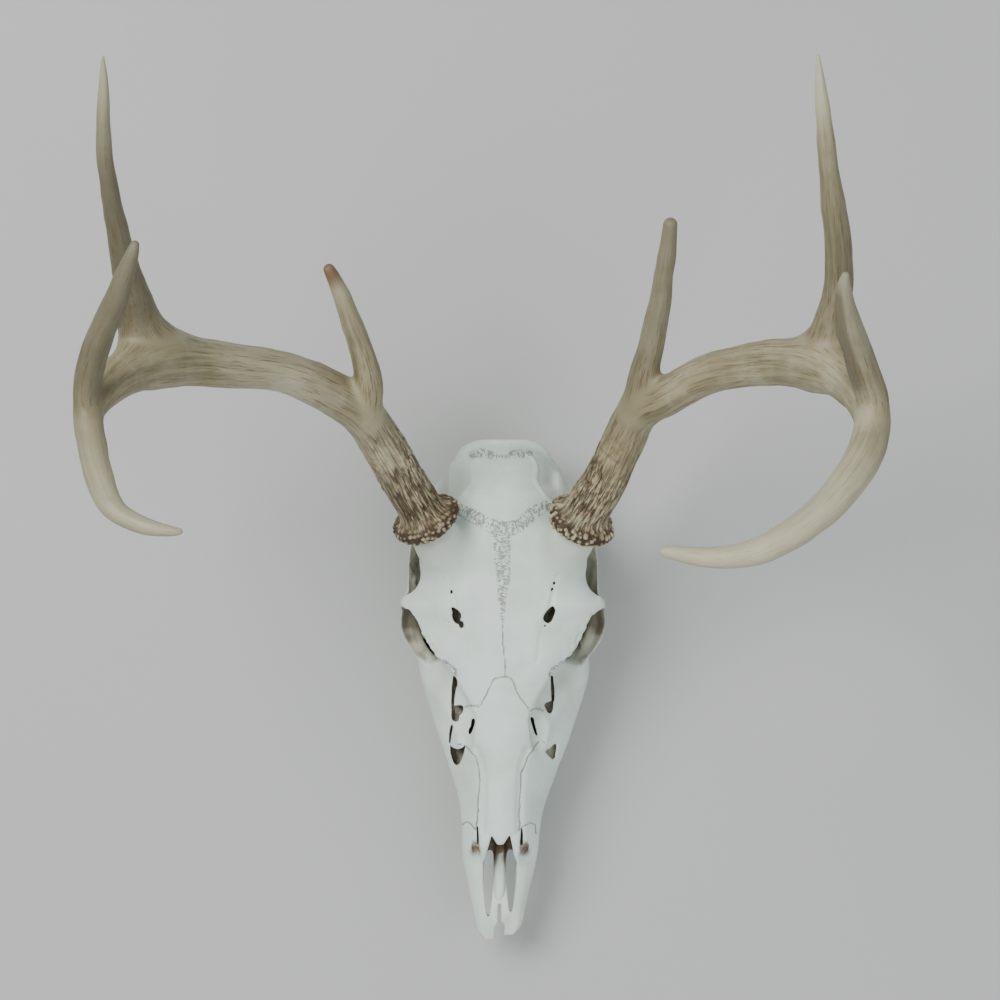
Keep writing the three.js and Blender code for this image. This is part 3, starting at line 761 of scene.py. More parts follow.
burr = {"centre": (42.5, -11.5, 107.5), "way": (0.39, 0.745, 0.54), "core": 13.5, "reach": 6.3, "half": 4.6}
orbit = {"centre": (52, -74, 64), "radii": (27, 19.5, 17.5), "turn": 0.22, "lean": -0.25, "soft": 1.2}
limbs = {
    # limbs of the left side: [x, y, z, radius] along each, how softly it joins, how flat it is across, and
    # how it slants
    "pedicle": ([(30, -33, 78, 15), (34.5, -26.5, 93, 14), (37.9, -20.3, 101.1, 13.4),
                 (40.2, -15.9, 104.3, 13.2)], 9),
    "cheekbone": ([(39, -108, 48, 6), (44.5, -90, 47.5, 5.6), (49, -76, 46.5, 5.2), (52, -62, 47.5, 5.4),
                   (51.8, -48, 47, 5)], 5, 0.6),
    "arch": ([(50.6, -53, 45, 8.5), (50.7, -38, 44.5, 8.2), (49.4, -25, 43.8, 7.6), (44, -10, 42, 7),
              (33, 2, 41, 8)], 2, 0.2, 0.42),
    "postorbitalBar": ([(54.5, -57.5, 76, 3), (56, -58.5, 69, 3.4), (56.4, -59.5, 60, 4),
                        (54.2, -59, 49, 5.2)], 2.5, 0.5),
    "paroccipital": ([(27, 14, 40, 8), (26.5, 16, 22, 6.3), (25, 16.5, 8, 4.4),
                      (24.5, 16.5, 1.5, 3.4)], 4, 0.8),
    "nasalProng": ([(9.0, -193, 61, 3.2), (9.4, -199, 59, 3), (10.1, -204, 57, 2),
                    (10.6, -208, 55.5, 0.9)], 1.2),
    "vomer": ([(0, -172, 37, 2.8), (0, -205, 38, 3.1), (0, -226, 36, 2.8), (0, -234, 34, 1.2)], 0.5),
    "nuchalCrest": ([(-4, 32, 55, 2), (12, 32, 54.5, 2.2), (19.5, 30, 53, 2.4), (24, 25, 50, 2.2),
                     (26, 17, 46, 1.6)], 4),
    "basilarTubercle": ([(4.5, 12, 24, 3), (5.5, 4, 23.5, 4), (4.5, -8, 26, 3)], 2.5),
    "jugularProcess": ([(16, 10, 30, 4), (20, 15, 27, 4.5), (25, 16, 30, 5)], 3),
}
# rounded lumps and hollows of the left side: centre, radii, softness, and where it is needed turn and lean
lumps = {
    "condyle": ((11, 22.5, 24), (6.2, 8, 10.5), 2, 0, 0.35),
    "condyleFoot": ((8.5, 15.5, 20.5), (5, 7, 4), 2.5, 0.4),
    "earCapsule": ((19.5, -3, 25.5), (6.2, 11, 7.5), 2, 0.35),
    "earTip": ((17, -12, 21.5), (2.6, 5, 3), 2, 0.35),
    "mastoid": ((33.5, 5, 41), (6, 7, 8), 5),
    "squama": ((31.5, 2, 57), (5, 14, 12), 6),
}
hollows = {
    "noseCorner": ((14.2, -201.2, 56), (2.8, 5.4, 6), 1.6, -0.2),
    "ovalForamen": ((15, -28, 33), (2.2, 3.6, 7), 0.8),
    "jugularForamen": ((15.5, 9, 25), (1.8, 3, 5), 0.8, -0.5),
    "condyleForamen": ((9.5, 12, 21), (1, 1.2, 4), 0.4),
    "palatineForamen": ((12.5, -117, 27), (1.6, 2.6, 5), 0.6, 0.15),
    "smallPalatineForamen": ((14, -104, 26), (0.9, 1.3, 4), 0.4),
    "infraorbitalForamen": ((31, -152, 42), (3, 4.5, 2.4), 1),
    "earCanal": ((38, 2, 46), (6, 2.6, 2.6), 0.8),
    "vomerGroove": ((3.5, -214, 40), (0.5, 19, 6), 0.3),
    "choana": ((0, -56, 26), (8.5, 26, 12), 1.5),
    "foramenMagnum": ((0, 33, 33), (8, 26, 8), 1.5),
}
gaps = [
    # small round or narrow openings, of the left and then the right side:
    # x, y, z, half width, half length, depth, turn
    (28.5, -46.3, 94, 0.7, 0.9, 8, 0), (27.4, -49.7, 94, 0.6, 1.1, 8, -0.3),
    (23.6, -70.2, 94, 0.6, 0.7, 8, 0), (23.7, -73.2, 94, 0.4, 0.5, 8, 0),
    (25.4, -103.4, 84, 0.8, 0.9, 5, 0), (26, -108.4, 83, 0.7, 1.1, 5, 0),
    (29.9, -131.2, 68, 0.4, 1.8, 6, 0), (11.9, -194.5, 60, 0.58, 8.5, 8, -0.03),
    (40.9, -85.4, 68, 0.5, 4, 10, -0.25), (24, -137.6, 68, 3.2, 0.4, 5, -0.6),
    (-28.8, -51.6, 94, 0.8, 1.1, 9, 0), (-30.2, -68.5, 94, 0.45, 0.5, 8, 0),
    (-21.5, -125.3, 78, 0.8, 0.9, 5, 0), (-24, -107, 84, 0.6, 0.8, 4, 0),
    (-23.2, -111.5, 84, 0.5, 0.7, 4, 0), (-12.8, -194.5, 60, 0.58, 8.5, 8, 0.06),
    (-40.6, -92, 70, 0.45, 3.6, 8, -0.15), (-42.3, -84.2, 60, 1.0, 6.8, 20, 0.6),
    (-26, -139.8, 66, 3.6, 0.45, 5, 0.2), (-21, -75.6, 97, 0.5, 0.7, 3, 0),
]
openings = [
    # irregular openings seen from above: the height of the floor, and the outline
    (84, [(-29, -60.8), (-27.9, -60.1), (-25, -61.9), (-23.5, -63.7), (-23.5, -66.4), (-24.3, -67.9),
         (-22.7, -68), (-21.8, -69.8), (-22.3, -71.7), (-23.9, -71.6), (-24.5, -69.8),
         (-26.8, -68.7), (-28.4, -65.3), (-28.2, -62.7)]),
    (84, [(27.8, -59.2), (29.3, -61.5), (28.5, -64.9), (27, -67.9), (24.8, -68.7), (22.7, -66.8),
         (23.1, -64.2), (25.2, -61.2)]),
    (60, [(-27.8, -100.3), (-26, -100.6), (-25.4, -104.5), (-26.5, -108.4), (-27.1, -113),
         (-27.6, -118.6), (-28.7, -118.5), (-28.6, -108)]),
    (58, [(-28.4, -118.6), (-27, -117.2), (-22.4, -117), (-22.4, -120.4), (-24.3, -122.6),
         (-24.6, -125.2), (-26.6, -126.1), (-28.6, -124.5)]),
    (54, [(-28.9, -128.3), (-27.9, -128.8), (-28.7, -134), (-29.2, -139), (-30.3, -138.8), (-30, -133)]),
    (61, [(-17, -124.4), (-15.4, -124.3), (-15.6, -127), (-17.1, -131.5), (-18.7, -133.4),
         (-18.6, -130.2), (-17.6, -128.4)]),
    (45, [(-29.5, -139.4), (-28.5, -141.2), (-25, -142.2), (-22, -140.8), (-21, -139.4), (-21.6, -144),
         (-23.5, -149.5), (-25.5, -151.8), (-27.5, -150.5), (-29.2, -145)]),
    (60, [(27.4, -100.1), (28.6, -100.1), (29.2, -106), (29.3, -113.5), (28.3, -114.6), (27.9, -108)]),
    (60, [(24, -115.8), (26.4, -114.6), (28.6, -114.8), (28.5, -119), (27.5, -121.2), (25.8, -120.3),
         (24.6, -118)]),
    (61, [(16, -123.2), (17.4, -123.3), (18.3, -127), (19.4, -131), (20, -133.8), (18.7, -132.6),
         (17.2, -128)]),
    (50, [(24.6, -143.2), (27.2, -141.3), (30.4, -139), (30, -143), (28.8, -148.2), (27.2, -146.6)]),
]
orbitFloor = {
    "centre": (48, -75, 65),
    "radii": (13.5, 18, 16.5),
    "thick": 2.4,
    "rimX": 55.2,
    "rimLean": -0.28,
    "rimBack": -68,
    "rimCurl": 0.021,
    "innerX": 42.0,
    "soft": 2.0,
}
outlines = {
    "pterygoidWing": [(-86, 9), (-72, 11), (-60, 15), (-46, 14), (-42, 18), (-36, 33), (-36, 42),
                      (-86, 34)],
    "napeHollow": [(33.5, 50), (29, 30), (24, 12), (24, -5), (60, -5), (60, 50)],
    "nasalNotch": [(-4, -216), (9.4, -216), (8.4, -208), (7.4, -200), (5.2, -190.5), (1.8, -196),
                   (-4, -197.4)],
    "noseSlit": [(-1, -262), (1, -262), (1, -234.4), (-1, -234.4)],
    "palatineFissure": [(3.9, -205), (8.6, -205), (9.1, -217), (8.6, -229), (7.6, -238.5), (6.5, -241.3),
                        (5.5, -239), (4.5, -229)],
}
toothRow = {
    "frontY": -160,
    "lengths": [10, 11, 11.5, 13, 14.5, 15],
    "tipZ": [(-160, 11), (-92, -0.6), (-85, -2)],
    "rootZ": 30,
}


def addOrbitFloor(block):
    # a thin cup below the eye, out to a rim that stands further out than the brow
    centre, inner = orbitFloor["centre"], orbitFloor["radii"]
    outer = [r + orbitFloor["thick"] for r in inner]

    def cup(x, y, z):
        grown = ellipsoid(centre, outer, x, y, z, orbit["turn"])
        hollow = ellipsoid(centre, inner, x, y, z, orbit["turn"])
        out = orbitFloor["rimX"] + orbitFloor["rimLean"] * (z - centre[2])
        out = out - orbitFloor["rimCurl"] * np.minimum(y - orbitFloor["rimBack"], 0) ** 2
        cut = cutFrom(cutFrom(grown, hollow, 0.6), out - x, 1.0)
        within = orbitFloor["innerX"] - 0.4 * (y - centre[1]) - x
        return np.maximum(np.maximum(cut, within), z - 72)

    block.add(cup, (30, -104, 36), (62, -48, 76), orbitFloor["soft"])


def addTeeth(block):
    backY = toothRow["frontY"]
    for number, long in enumerate(toothRow["lengths"]):
        y0 = backY + long / 2
        backY += long
        wide = long * 0.43 + 0.8
        x0 = float(lineAt(skullLines["alveolarHalf"], y0)) - 0.5 - wide
        tipZ = max(float(lineAt(toothRow["tipZ"], y0)), 0.0)
        lobes = 2 if number > 2 else 1
        lobeLong = (long - 0.4) / lobes / 2

        def crown(x, y, z):
            best = None
            for lobe in range(lobes):
                yc = y0 + (lobe - (lobes - 1) / 2) * 2 * lobeLong
                taper = 1 - 0.10 * smooth(toothRow["rootZ"], tipZ, z)
                px, py = np.abs(x - x0) / (wide * taper), np.abs(y - yc) / (lobeLong * 1.04)
                ring = ((px**2.6 + py**2.6) ** (1 / 2.6) - 1) * lobeLong
                best = ring if best is None else join(best, ring, 0.6)
            # two rows of crescents stand on the worn face, with a pit between them
            slope = np.abs(x - x0) / wide
            worn = tipZ + 1.1 * np.cos(slope * math.pi * 1.4) ** 2 * (0.4 + 0.6 * smooth(0.1, 0.6, slope))
            for lobe in range(lobes):
                yc = y0 + (lobe - (lobes - 1) / 2) * 2 * lobeLong
                bow = np.abs(x - x0) - 0.4 * wide + 0.9 * ((y - yc) / lobeLong) ** 2
                crescent = np.maximum(np.abs(bow) - 0.65, np.abs(y - yc) - 0.72 * lobeLong)
                worn = np.maximum(worn, tipZ + 2.4 * smooth(0.35, -0.35, crescent))
            return np.maximum(best, worn - z)

        low = (x0 - wide - 2, y0 - long / 2 - 1, tipZ - 2)
        high = (x0 + wide + 2, y0 + long / 2 + 1, toothRow["rootZ"])
        block.add(crown, low, high, 0.5)


def shapeHalf(step):
    # the left half of the skull; the right half is its mirror image
    middle = -(math.ceil(3 / step) + 0.5) * step  # the midline falls halfway between two cells
    block = Block((middle, noseTipY - 3, -2.5), (62, napeY + 6, 120), step)
    face = loftDistance(faceOutline, noseTipY, -60)
    block.add(face, (-3, noseTipY - 3, -2), (62, -50, 120), 0.5)
    block.add(loftDistance(vaultOutline, -96, napeY), (-3, -100, -2), (62, napeY + 6, 120), 4)
    block.add(loftDistance(foreheadOutline, -112, 2), (-3, -116, 40), (62, 8, 113), 2.2)
    block.addBall(*lumps["squama"])
    block.addBall(**orbit, carved=True)
    nose = loftDistance(noseOutline, -250, noseHollow["backY"])
    block.carve(nose, (-3, -252, 10), (40, noseHollow["backY"] + 2, 100), 1.2)
    nape = outlines["napeHollow"]
    block.carve(lambda x, y, z: polygonDistance(nape, y, z) + 0 * x, (-3, 15, -2), (60, napeY + 6, 60), 5)
    for limb in limbs.values():
        block.addLimb(*limb)
    addOrbitFloor(block)
    for name in ("condyle", "condyleFoot", "earCapsule", "earTip", "mastoid"):
        block.addBall(*lumps[name])
    top = sum(w * c for w, c in zip(burr["way"], burr["centre"])) - 3.5  # the pedicle ends under the burr

    def aboveBurr(x, y, z):
        return top - x * burr["way"][0] - y * burr["way"][1] - z * burr["way"][2]

    block.carve(aboveBurr, (18, -40, 70), (60, 20, 124), 1.5)
    wing = outlines["pterygoidWing"]
    block.add(
        lambda x, y, z: np.maximum(polygonDistance(wing, y, z) + 0 * x, np.abs(x - 11) - 1.2),
        (8, -90, 5), (14, -30, 45), 1.5,
    )
    addTeeth(block)
    notch = outlines["nasalNotch"]
    block.carve(lambda x, y, z: polygonDistance(notch, x, y) + 0 * z, (-4, -216, 48), (12, -186, 90), 0.5)
    block.carvePlan(outlines["palatineFissure"], 0, 60, 0.6)
    slit = outlines["noseSlit"]
    block.carve(lambda x, y, z: polygonDistance(slit, x, y) + 0 * z, (-4, -262, 0), (4, -232, 60), 0.7)
    block.addBall((0, -251, 30), (3, 6, 40), 0.8, carved=True)
    for hollow in hollows.values():
        block.addBall(*hollow, carved=True)
    drape(block)
    floor = block.axes[2][None, None, :]
    block.values = np.maximum(block.values, -floor).astype(np.float32)
    return block


drapedLines = [
    # low ridges and shallow channels that follow the surface: the radius, how far its middle lies under the
    # surface (less than zero where it cuts), the softness, and the line in plan
    ((1.6, 1.1, 1.4), [(12, 26.5), (16.5, 22.5), (18.2, 17), (17.4, 11), (21.5, 4), (26.5, -2)]),
    ((1.6, -1.15, 1), [(30.4, -43), (28.8, -51), (26, -62), (23, -70), (20.8, -80), (20, -90)]),
    ((1.5, 1.0, 1.2), [(45.8, -91), (45, -93.6), (43.8, -95.8), (41.8, -96.8), (39.8, -95.2)]),
    ((12, -10.6, 5), [(43, -99), (37, -106), (31, -117)]),
    ((14, -13.4, 4), [(12, -45), (10, -60), (11, -75)]),
    ((8, -7.3, 1.5), [(22.5, -123), (24.5, -137)]),
    ((3, -2.6, 2), [(15.5, -142), (12.2, -152), (11.4, -172), (12, -188)]),
]


def drape(block):
    for (radius, sunk, soft), line in drapedLines:
        keys = []
        for x, y in line:
            i = int(round((x - block.low[0]) / block.step))
            j = int(round((y - block.low[1]) / block.step))
            top = np.nonzero(block.values[i, j] < 0)[0].max()
            upper, lower = block.values[i, j, top + 1], block.values[i, j, top]
            z = block.low[2] + block.step * (top + lower / (lower - upper))
            keys.append((x, y, z - sunk, radius))
        block.addLimb(keys, soft, carved=sunk < 0)


def mirrored(half):
    # reflects the half in the midline, where x is 0
    keep = half.axes[0] > 0
    right = half.values[keep]
    whole = Block((0, 0, 0), (0, 0, 0), half.step)
    xs = half.axes[0][keep]
    whole.axes = [np.concatenate([-xs[::-1], xs]), half.axes[1], half.axes[2]]
    whole.low = np.array([whole.axes[0][0], half.low[1], half.low[2]], float)
    whole.values = np.concatenate([right[::-1], right]).astype(np.float32)
    return whole


sutures = [
    # where bones meet: half the width of the band in which they interlock, from the line's start to its end
    # (0 for a plain line), and the line in plan
    ((5.2, 3.4), [(-0.9, -16.5), (-0.5, -30), (0.3, -44)]),
    ((3.4, 0.8), [(0.3, -44), (-0.4, -55), (-0.3, -68)]),
    ((0, 0), [(-0.3, -66), (0.5, -80), (1.9, -99)]),
    ((4.2, 3.0), [(-0.9, -16.8), (-7.6, -14), (-18.8, -8.4), (-27.2, -3.9)]),
    ((4.2, 3.0), [(-0.9, -16.8), (9.2, -14), (17.6, -6.7), (26, -2.8)]),
    ((2.4, 2.6), [(-17.5, 26), (-13, 26.8), (-8, 25.5)]),
    ((2.6, 2.4), [(5, 25.5), (10, 26.8), (14.5, 26)]),
    ((1.4, 1.4), [(-8, 25.5), (-1, 24.5), (5, 25.5)]),
    ((0, 0), [(1.8, -99), (-1.6, -99.4), (-4.9, -100.9), (-7.6, -106.2), (-10.4, -111.8), (-12.7, -116.3)]),
    ((0, 0), [(1.8, -99), (3.8, -99.2), (6.2, -102), (9, -108.5), (12.9, -114.6), (15.1, -118.6)]),
    ((0, 0), [(-20.6, -139.7), (-15.6, -145.2), (-13.4, -150.8), (-12.6, -157.6), (-13.4, -174.9),
              (-14.7, -188)]),
    ((0, 0), [(20.8, -137.4), (15.7, -144.2), (12.4, -150.8), (11, -157.6), (10.2, -174.9), (10.3, -188)]),
    ((0, 0), [(-15, -188.4), (-17.8, -185), (-20.3, -184.9), (-22.4, -187)]),
    ((0, 0), [(10.6, -188.5), (14.2, -185), (18.7, -185.4), (19.9, -191)]),
    ((1.2, 1.2), [(-38, -90), (-32, -92), (-26.4, -95.6), (-26.5, -99)]),
    ((1.2, 1.2), [(38.8, -89.3), (33, -92), (28, -95.3), (27, -99)]),
    ((0.8, 0.8), [(-12.7, -116.3), (-17, -116), (-21, -117.5)]),
    ((0.8, 0.8), [(15.1, -118.6), (19, -118), (23, -119)]),
]


palateSutures = [
    # the same on the palate and the base, seen from below
    ((0, 0), [(0, -62), (0.3, -120), (-0.2, -180), (0, -236)]),
    ((0.9, 0.9), [(-20, -117), (-13, -122), (-5, -125), (5, -125), (13, -122), (20, -117)]),
    ((0.9, 0.9), [(-15, -188), (-8, -196), (0, -200), (8, -196), (15, -188)]),
    ((0, 0), [(-12, -14), (0, -15), (12, -14)]),
    ((0, 0), [(-26, -20), (-20, -34), (-14, -44)]),
    ((0, 0), [(26, -20), (20, -34), (14, -44)]),
]


seamSettings = {"waver": 0.55, "reach": 9.0, "pointsPerKey": 7, "apart": 40}


def seamCoordinates(points, sutures):
    # place along the nearest suture, distance from it, half width of its knitted band, and signed distance
    waver = np.stack([noise(points, 2.6, 41), noise(points, 2.6, 42)], 1)
    plan = points[:, :2] + seamSettings["waver"] * waver
    reach = seamSettings["reach"]
    away, best = np.full(len(points), reach), np.full(len(points), reach)
    along, signed, band = (np.zeros(len(points)) for _ in range(3))
    start = 0.0
    for (first, last), line in sutures:
        keys = curvePoints(line, seamSettings["pointsPerKey"] * len(line))
        for i, (a, b) in enumerate(zip(keys[:-1], keys[1:])):
            edge = b - a
            length = math.hypot(*edge)
            t = np.clip((plan - a) @ edge / length, 0, length)
            off = plan - a - t[:, None] * edge / length
            gap = np.hypot(*off.T)
            width = first + (last - first) * i / len(keys)
            closer = (gap - width < best) & (gap < reach)
            best[closer] = (gap - width)[closer]
            away[closer], along[closer], band[closer] = gap[closer], start + t[closer], width
            signed[closer] = (np.sign(edge[0] * off[:, 1] - edge[1] * off[:, 0]) * gap)[closer]
            start += length
        start += seamSettings["apart"]
    return np.stack([along, away, band], 1), signed


boneRegions = [
    # the name, and what the plan outline and the side outline take from the skull, in this order
    ("nasal",
     [(-1, -213), (14, -213), (12.4, -200), (12.2, -170), (14.2, -152), (17.2, -140), (15.5, -122),
      (12.5, -113), (5, -101.5), (-1, -100)],
     [(-214, 50), (-200, 57), (-150, 70), (-100, 80), (-100, 130), (-214, 130)]),
    ("frontal",
     [(-1, -100), (5, -101.5), (12.5, -113), (17, -113), (23.5, -98), (36, -88), (62, -86), (62, -30),
      (60, 3), (40, 3), (28, -4.5), (14, -9.5), (8, -15.5), (-1, -17)],
     [(-120, 74), (-96, 72), (-70, 72), (-58, 68), (-50, 62), (-8, 72), (6, 78), (6, 130), (-120, 130)]),
    ("premaxilla", None,
     [(-262, 0), (-217, 0), (-214, 30), (-184, 56), (-184, 100), (-262, 100)]),
    ("cheekbone",
     [(36, -108), (70, -108), (70, -43), (36, -43)],
     [(-108, 38), (-43, 38), (-43, 74), (-80, 74), (-88, 60), (-108, 50)]),
    ("lacrimal", None,
     [(-112, 48), (-88, 56), (-80, 60), (-80, 100), (-112, 100)]),
    ("maxilla", None,
     [(-218, -10), (-62, -10), (-62, 44), (-88, 50), (-112, 46), (-112, 100), (-218, 100)]),
    ("palatine", None,
     [(-90, 0), (-30, 0), (-30, 31), (-62, 31), (-90, 31)]),
    ("temporal",
     [(16, -52), (70, -52), (70, 13), (14, 13), (10, -8)],
     [(-50, 24), (-12, 14), (12, 14), (12, 30), (9, 58), (-20, 64), (-50, 60)]),
    ("occipital", None,
     [(8, -10), (60, -10), (60, 100), (25, 100), (21, 60), (12, 50), (12, 24)]),
    ("parietal", None,
     [(-54, 62), (-20, 64), (9, 58), (30, 48), (30, 110), (-54, 110)]),
]
singleBones = ["occipital", "parietal"]


def sortBones(centres):
    # the name of the bone that each face belongs to
    x, y, z = centres.T
    names = np.full(len(centres), "sphenoid", dtype=object)
    free = np.ones(len(centres), bool)
    for name, plan, side in boneRegions:
        taken = free & (polygonDistance(side, y, z) < 0)
        if plan:
            taken &= polygonDistance(plan, np.abs(x), y) < 0
        free &= ~taken
        if name in singleBones:
            names[taken] = name
        else:
            names[taken & (x >= 0)] = name + "_left"
            names[taken & (x < 0)] = name + "_right"
    return names


def shelter(block, points, normals):
    # the share of directions from each point that run into bone
    count, reaches = 26, (2.5, 5, 9, 15, 24, 38)
    golden = math.pi * (3 - math.sqrt(5))
    blocked, weight = np.zeros(len(points)), np.zeros(len(points))
    top = np.array(block.values.shape) - 1
    for i in range(count):
        z = 1 - 2 * (i + 0.5) / count
        ring = math.sqrt(1 - z * z)
        way = np.array([math.cos(golden * i) * ring, math.sin(golden * i) * ring, z])
        facing = np.maximum(normals @ way, 0)
        hit = np.zeros(len(points), bool)
        for reach in reaches:
            place = (points + normals * 0.8 + way * reach - block.low) / block.step
            cell = np.clip(np.round(place).astype(int), 0, top)
            hit |= block.values[tuple(cell.T)] < 0
        blocked += facing * hit
        weight += facing
    return blocked / np.maximum(weight, 1e-6)


stainAndShadeSpots = [
    # brown in the nose, partly its own stain and partly painted shade, and painted shade in the gaps of the
    # face: [x, y, z, reach]
    (-1, -192, 42, 20), (-16, -201, 46, 9), (16, -201, 46, 9),
    (-25.7, -121, 70, 6), (25.4, -117, 71, 5), (-26.5, -145, 60, 6), (27, -143, 61, 5), (-24, -108, 78, 4),
    (25, -108, 78, 4), (-17, -129, 78, 3), (17, -128, 78, 3), (-42.3, -84.2, 62, 7), (41, -85.5, 62, 5),
]
warmPatches = [
    # how strong, and then the centre and the reach, across and along, of either side
    (1.0, 41, -18, 14, 14), (0.3, 28, -32, 16, 16), (0.6, 27, 12, 9, 9), (0.15, 0, -45, 20, 35),
]
skullSettings = {"step": 0.72, "quickStep": 1.1, "undulation": 0.35, "bendFrom": -160, "bend": 0.8,
                 "uneven": 3, "fuller": 2.3, "scallop": 0.8}


def bendSkull(points, faces, normals):
    # a slightly wavy surface, and the small differences between the two sides
    wave = noise(points, 14, 1) * 0.6 + noise(points, 6, 2) * 0.3 + noise(points, 2.4, 3) * 0.1
    quiet = smooth(1.2, 3.0, points[:, 2])  # the feet stay flat on the table
    ax, y = np.abs(points[:, 0]), points[:, 1]
    edge = np.interp(y, [-90, -77, -60], [35, 43.5, 55])  # the brow's edge over the eye is finely scalloped
    brow = np.exp(-(((ax - edge) / 2.5) ** 2)) * (y < -60) * (y > -92) * (points[:, 2] > 74)
    wave = wave * skullSettings["undulation"] + skullSettings["scallop"] * brow * noise(points, 2.1, 4)
    points, normals = moveOut(points, faces, normals, wave * quiet)
    # the front of the nose leans a little, and one tip is longer than the other
    bend = smooth(skullSettings["bendFrom"], noseTipY, points[:, 1])
    points[:, 0] -= skullSettings["bend"] * np.minimum(2 * bend, 1)
    points[:, 1] += skullSettings["uneven"] * bend**2 * smooth(-6, 6, points[:, 0])
    # and the left cheek is a little fuller
    share = points[:, 0] / lineAt(skullLines["cheekHalf"], points[:, 1])
    fuller = smooth(0.8, 1, share) * smooth(-84, -102, points[:, 1]) * smooth(-200, -140, points[:, 1])
    points[:, 0] += skullSettings["fuller"] * fuller
    return points, normals


def stainAndShadeOf(points, hollow, startX):
    # brown in the sheltered places of the nose, partly its own stain and partly painted shade, and painted
    # shade in the gaps of the face and in the corner beside each nasal bone
    y, z = points[:, 1], points[:, 2]
    stainAndShade = np.zeros(len(points))
    for *place, reach in stainAndShadeSpots:
        stainAndShade = np.maximum(stainAndShade, np.exp(-((np.linalg.norm(points - place, axis=1) / reach) ** 3)))
    stainAndShade *= smooth(0.16, 0.42, hollow + 0.12 * noise(points, 3, 8)) * smooth(-216, -204, y)
    corner = spot(startX, y, 14.2, -200.5, 3.6, 5.5) * (1 + 0.4 * noise(points, 2, 8))
    return np.maximum(stainAndShade, 0.95 * smooth(0.15, 0.9, corner) * (z > 44) * smooth(-209, -199, y))


def paintedShadeOf(points, normals, hollow):
    # painted shade: the shelter of each place, and darker again in the eye sockets and inside the arches
    x, y, z = points.T
    ax = np.abs(x)
    within = ((ax - 48) / 13.5) ** 2 + ((y + 75) / 18) ** 2 + ((z - 65) / 16.5) ** 2
    tone = 0.62 - 0.06 * np.sign(x) + 0.2 * smooth(-84, -62, y) + 0.15 * noise(points, 5, 9)
    cup = smooth(1.25, 1.05, within) * (z < 74) * tone
    archShade = smooth(0.35, -0.1, normals[:, 0] * np.sign(x)) * (y > -62) * (y < -16)
    archShade = archShade * (z > 30) * (z < 62) * (ax > 30)
    hollow = hollow * (1 - 0.6 * smooth(-206, -216, y))
    hollow = np.maximum(hollow, np.maximum(cup, archShade * (0.72 + 0.15 * noise(points, 6, 9))))
    orbitShade = spot(ax, y, 50, -67, 9, 15) * np.exp(-(((z - 60) / 14) ** 2))
    return hollow + 0.4 * orbitShade * smooth(0.1, 0.35, hollow)


def warmthOf(points):
    # a beige tint: the bone's own yellowing about the pedicles and on the forehead, beige on the sides behind
    # the antlers and at the front of the nose, and painted shade in the shallow pit on the side of the face
    # below each eye
    ax, y, z = np.abs(points[:, 0]), points[:, 1], points[:, 2]
    warm = 0.6 * smooth(-8, 8, y) * (ax > 31) + 0.25 * smooth(-198, -214, y)
    warm = warm + 0.55 * spot(ax, y, 36, -106, 9, 14) * (z < 82)
    for share, *patch in warmPatches:
        warm = warm + share * spot(ax, y, *patch)
    return warm


def makeSkull():
    step = skullSettings["step"]
    skull = mirrored(shapeHalf(step))
    for x, y, z, wide, long, deep, turn in gaps:
        skull.addBall((x, y, z), (wide, long, deep), 0.4, turn, carved=True)
    for floor, outline in openings:
        skull.carvePlan(outline, floor, 110, 0.5)
    print("the skull's block is filled")
    points, faces = skull.skin()
    print("skull:", len(points), "points")
    normals = skull.slope(points)
    # how sheltered each place is; it is painted into the bone's colour as shade
    hollow = shelter(skull, points, normals)
    startX = np.abs(points[:, 0])
    points, normals = bendSkull(points, faces, normals)
    x, y, z = points.T
    nearTeeth = (z < lineAt(skullLines["alveolarZ"], y) - 1.0) & (y > -162) & (y < -83) & (np.abs(x) > 11)
    rough = spot(np.abs(x), y, 27, -70, 10, 10) + 0.8 * np.exp(-(((y - 26) / 7) ** 2))
    seam, seamSide = seamCoordinates(points, sutures)
    below = seamCoordinates(points, palateSutures)
    under = (normals[:, 2] < -0.3) & (z < 45) & ~nearTeeth
    seam[normals[:, 2] < 0.15, 1] = seamSettings["reach"]  # no suture of the top shows on the sides and below
    seam[under], seamSide[under] = below[0][under], below[1][under]
    values = {
        "hollow": paintedShadeOf(points, normals, hollow),
        "stainAndShade": np.clip(stainAndShadeOf(points, hollow, startX), 0, 1),
        "warm": np.clip(warmthOf(points), 0, 1),
        "rough": np.clip(rough, 0, 1),
        "tooth": nearTeeth.astype(float),
        "seam": seam,
        "seamSide": seamSide,
    }
    names = sortBones(points[faces].mean(1))
    for name in sorted(set(names)):
        placePiece(name + "_bone", points, faces[names == name], normals, values, bone, [name])
    print("skull pieces:", len(set(names)))


makeSkull()

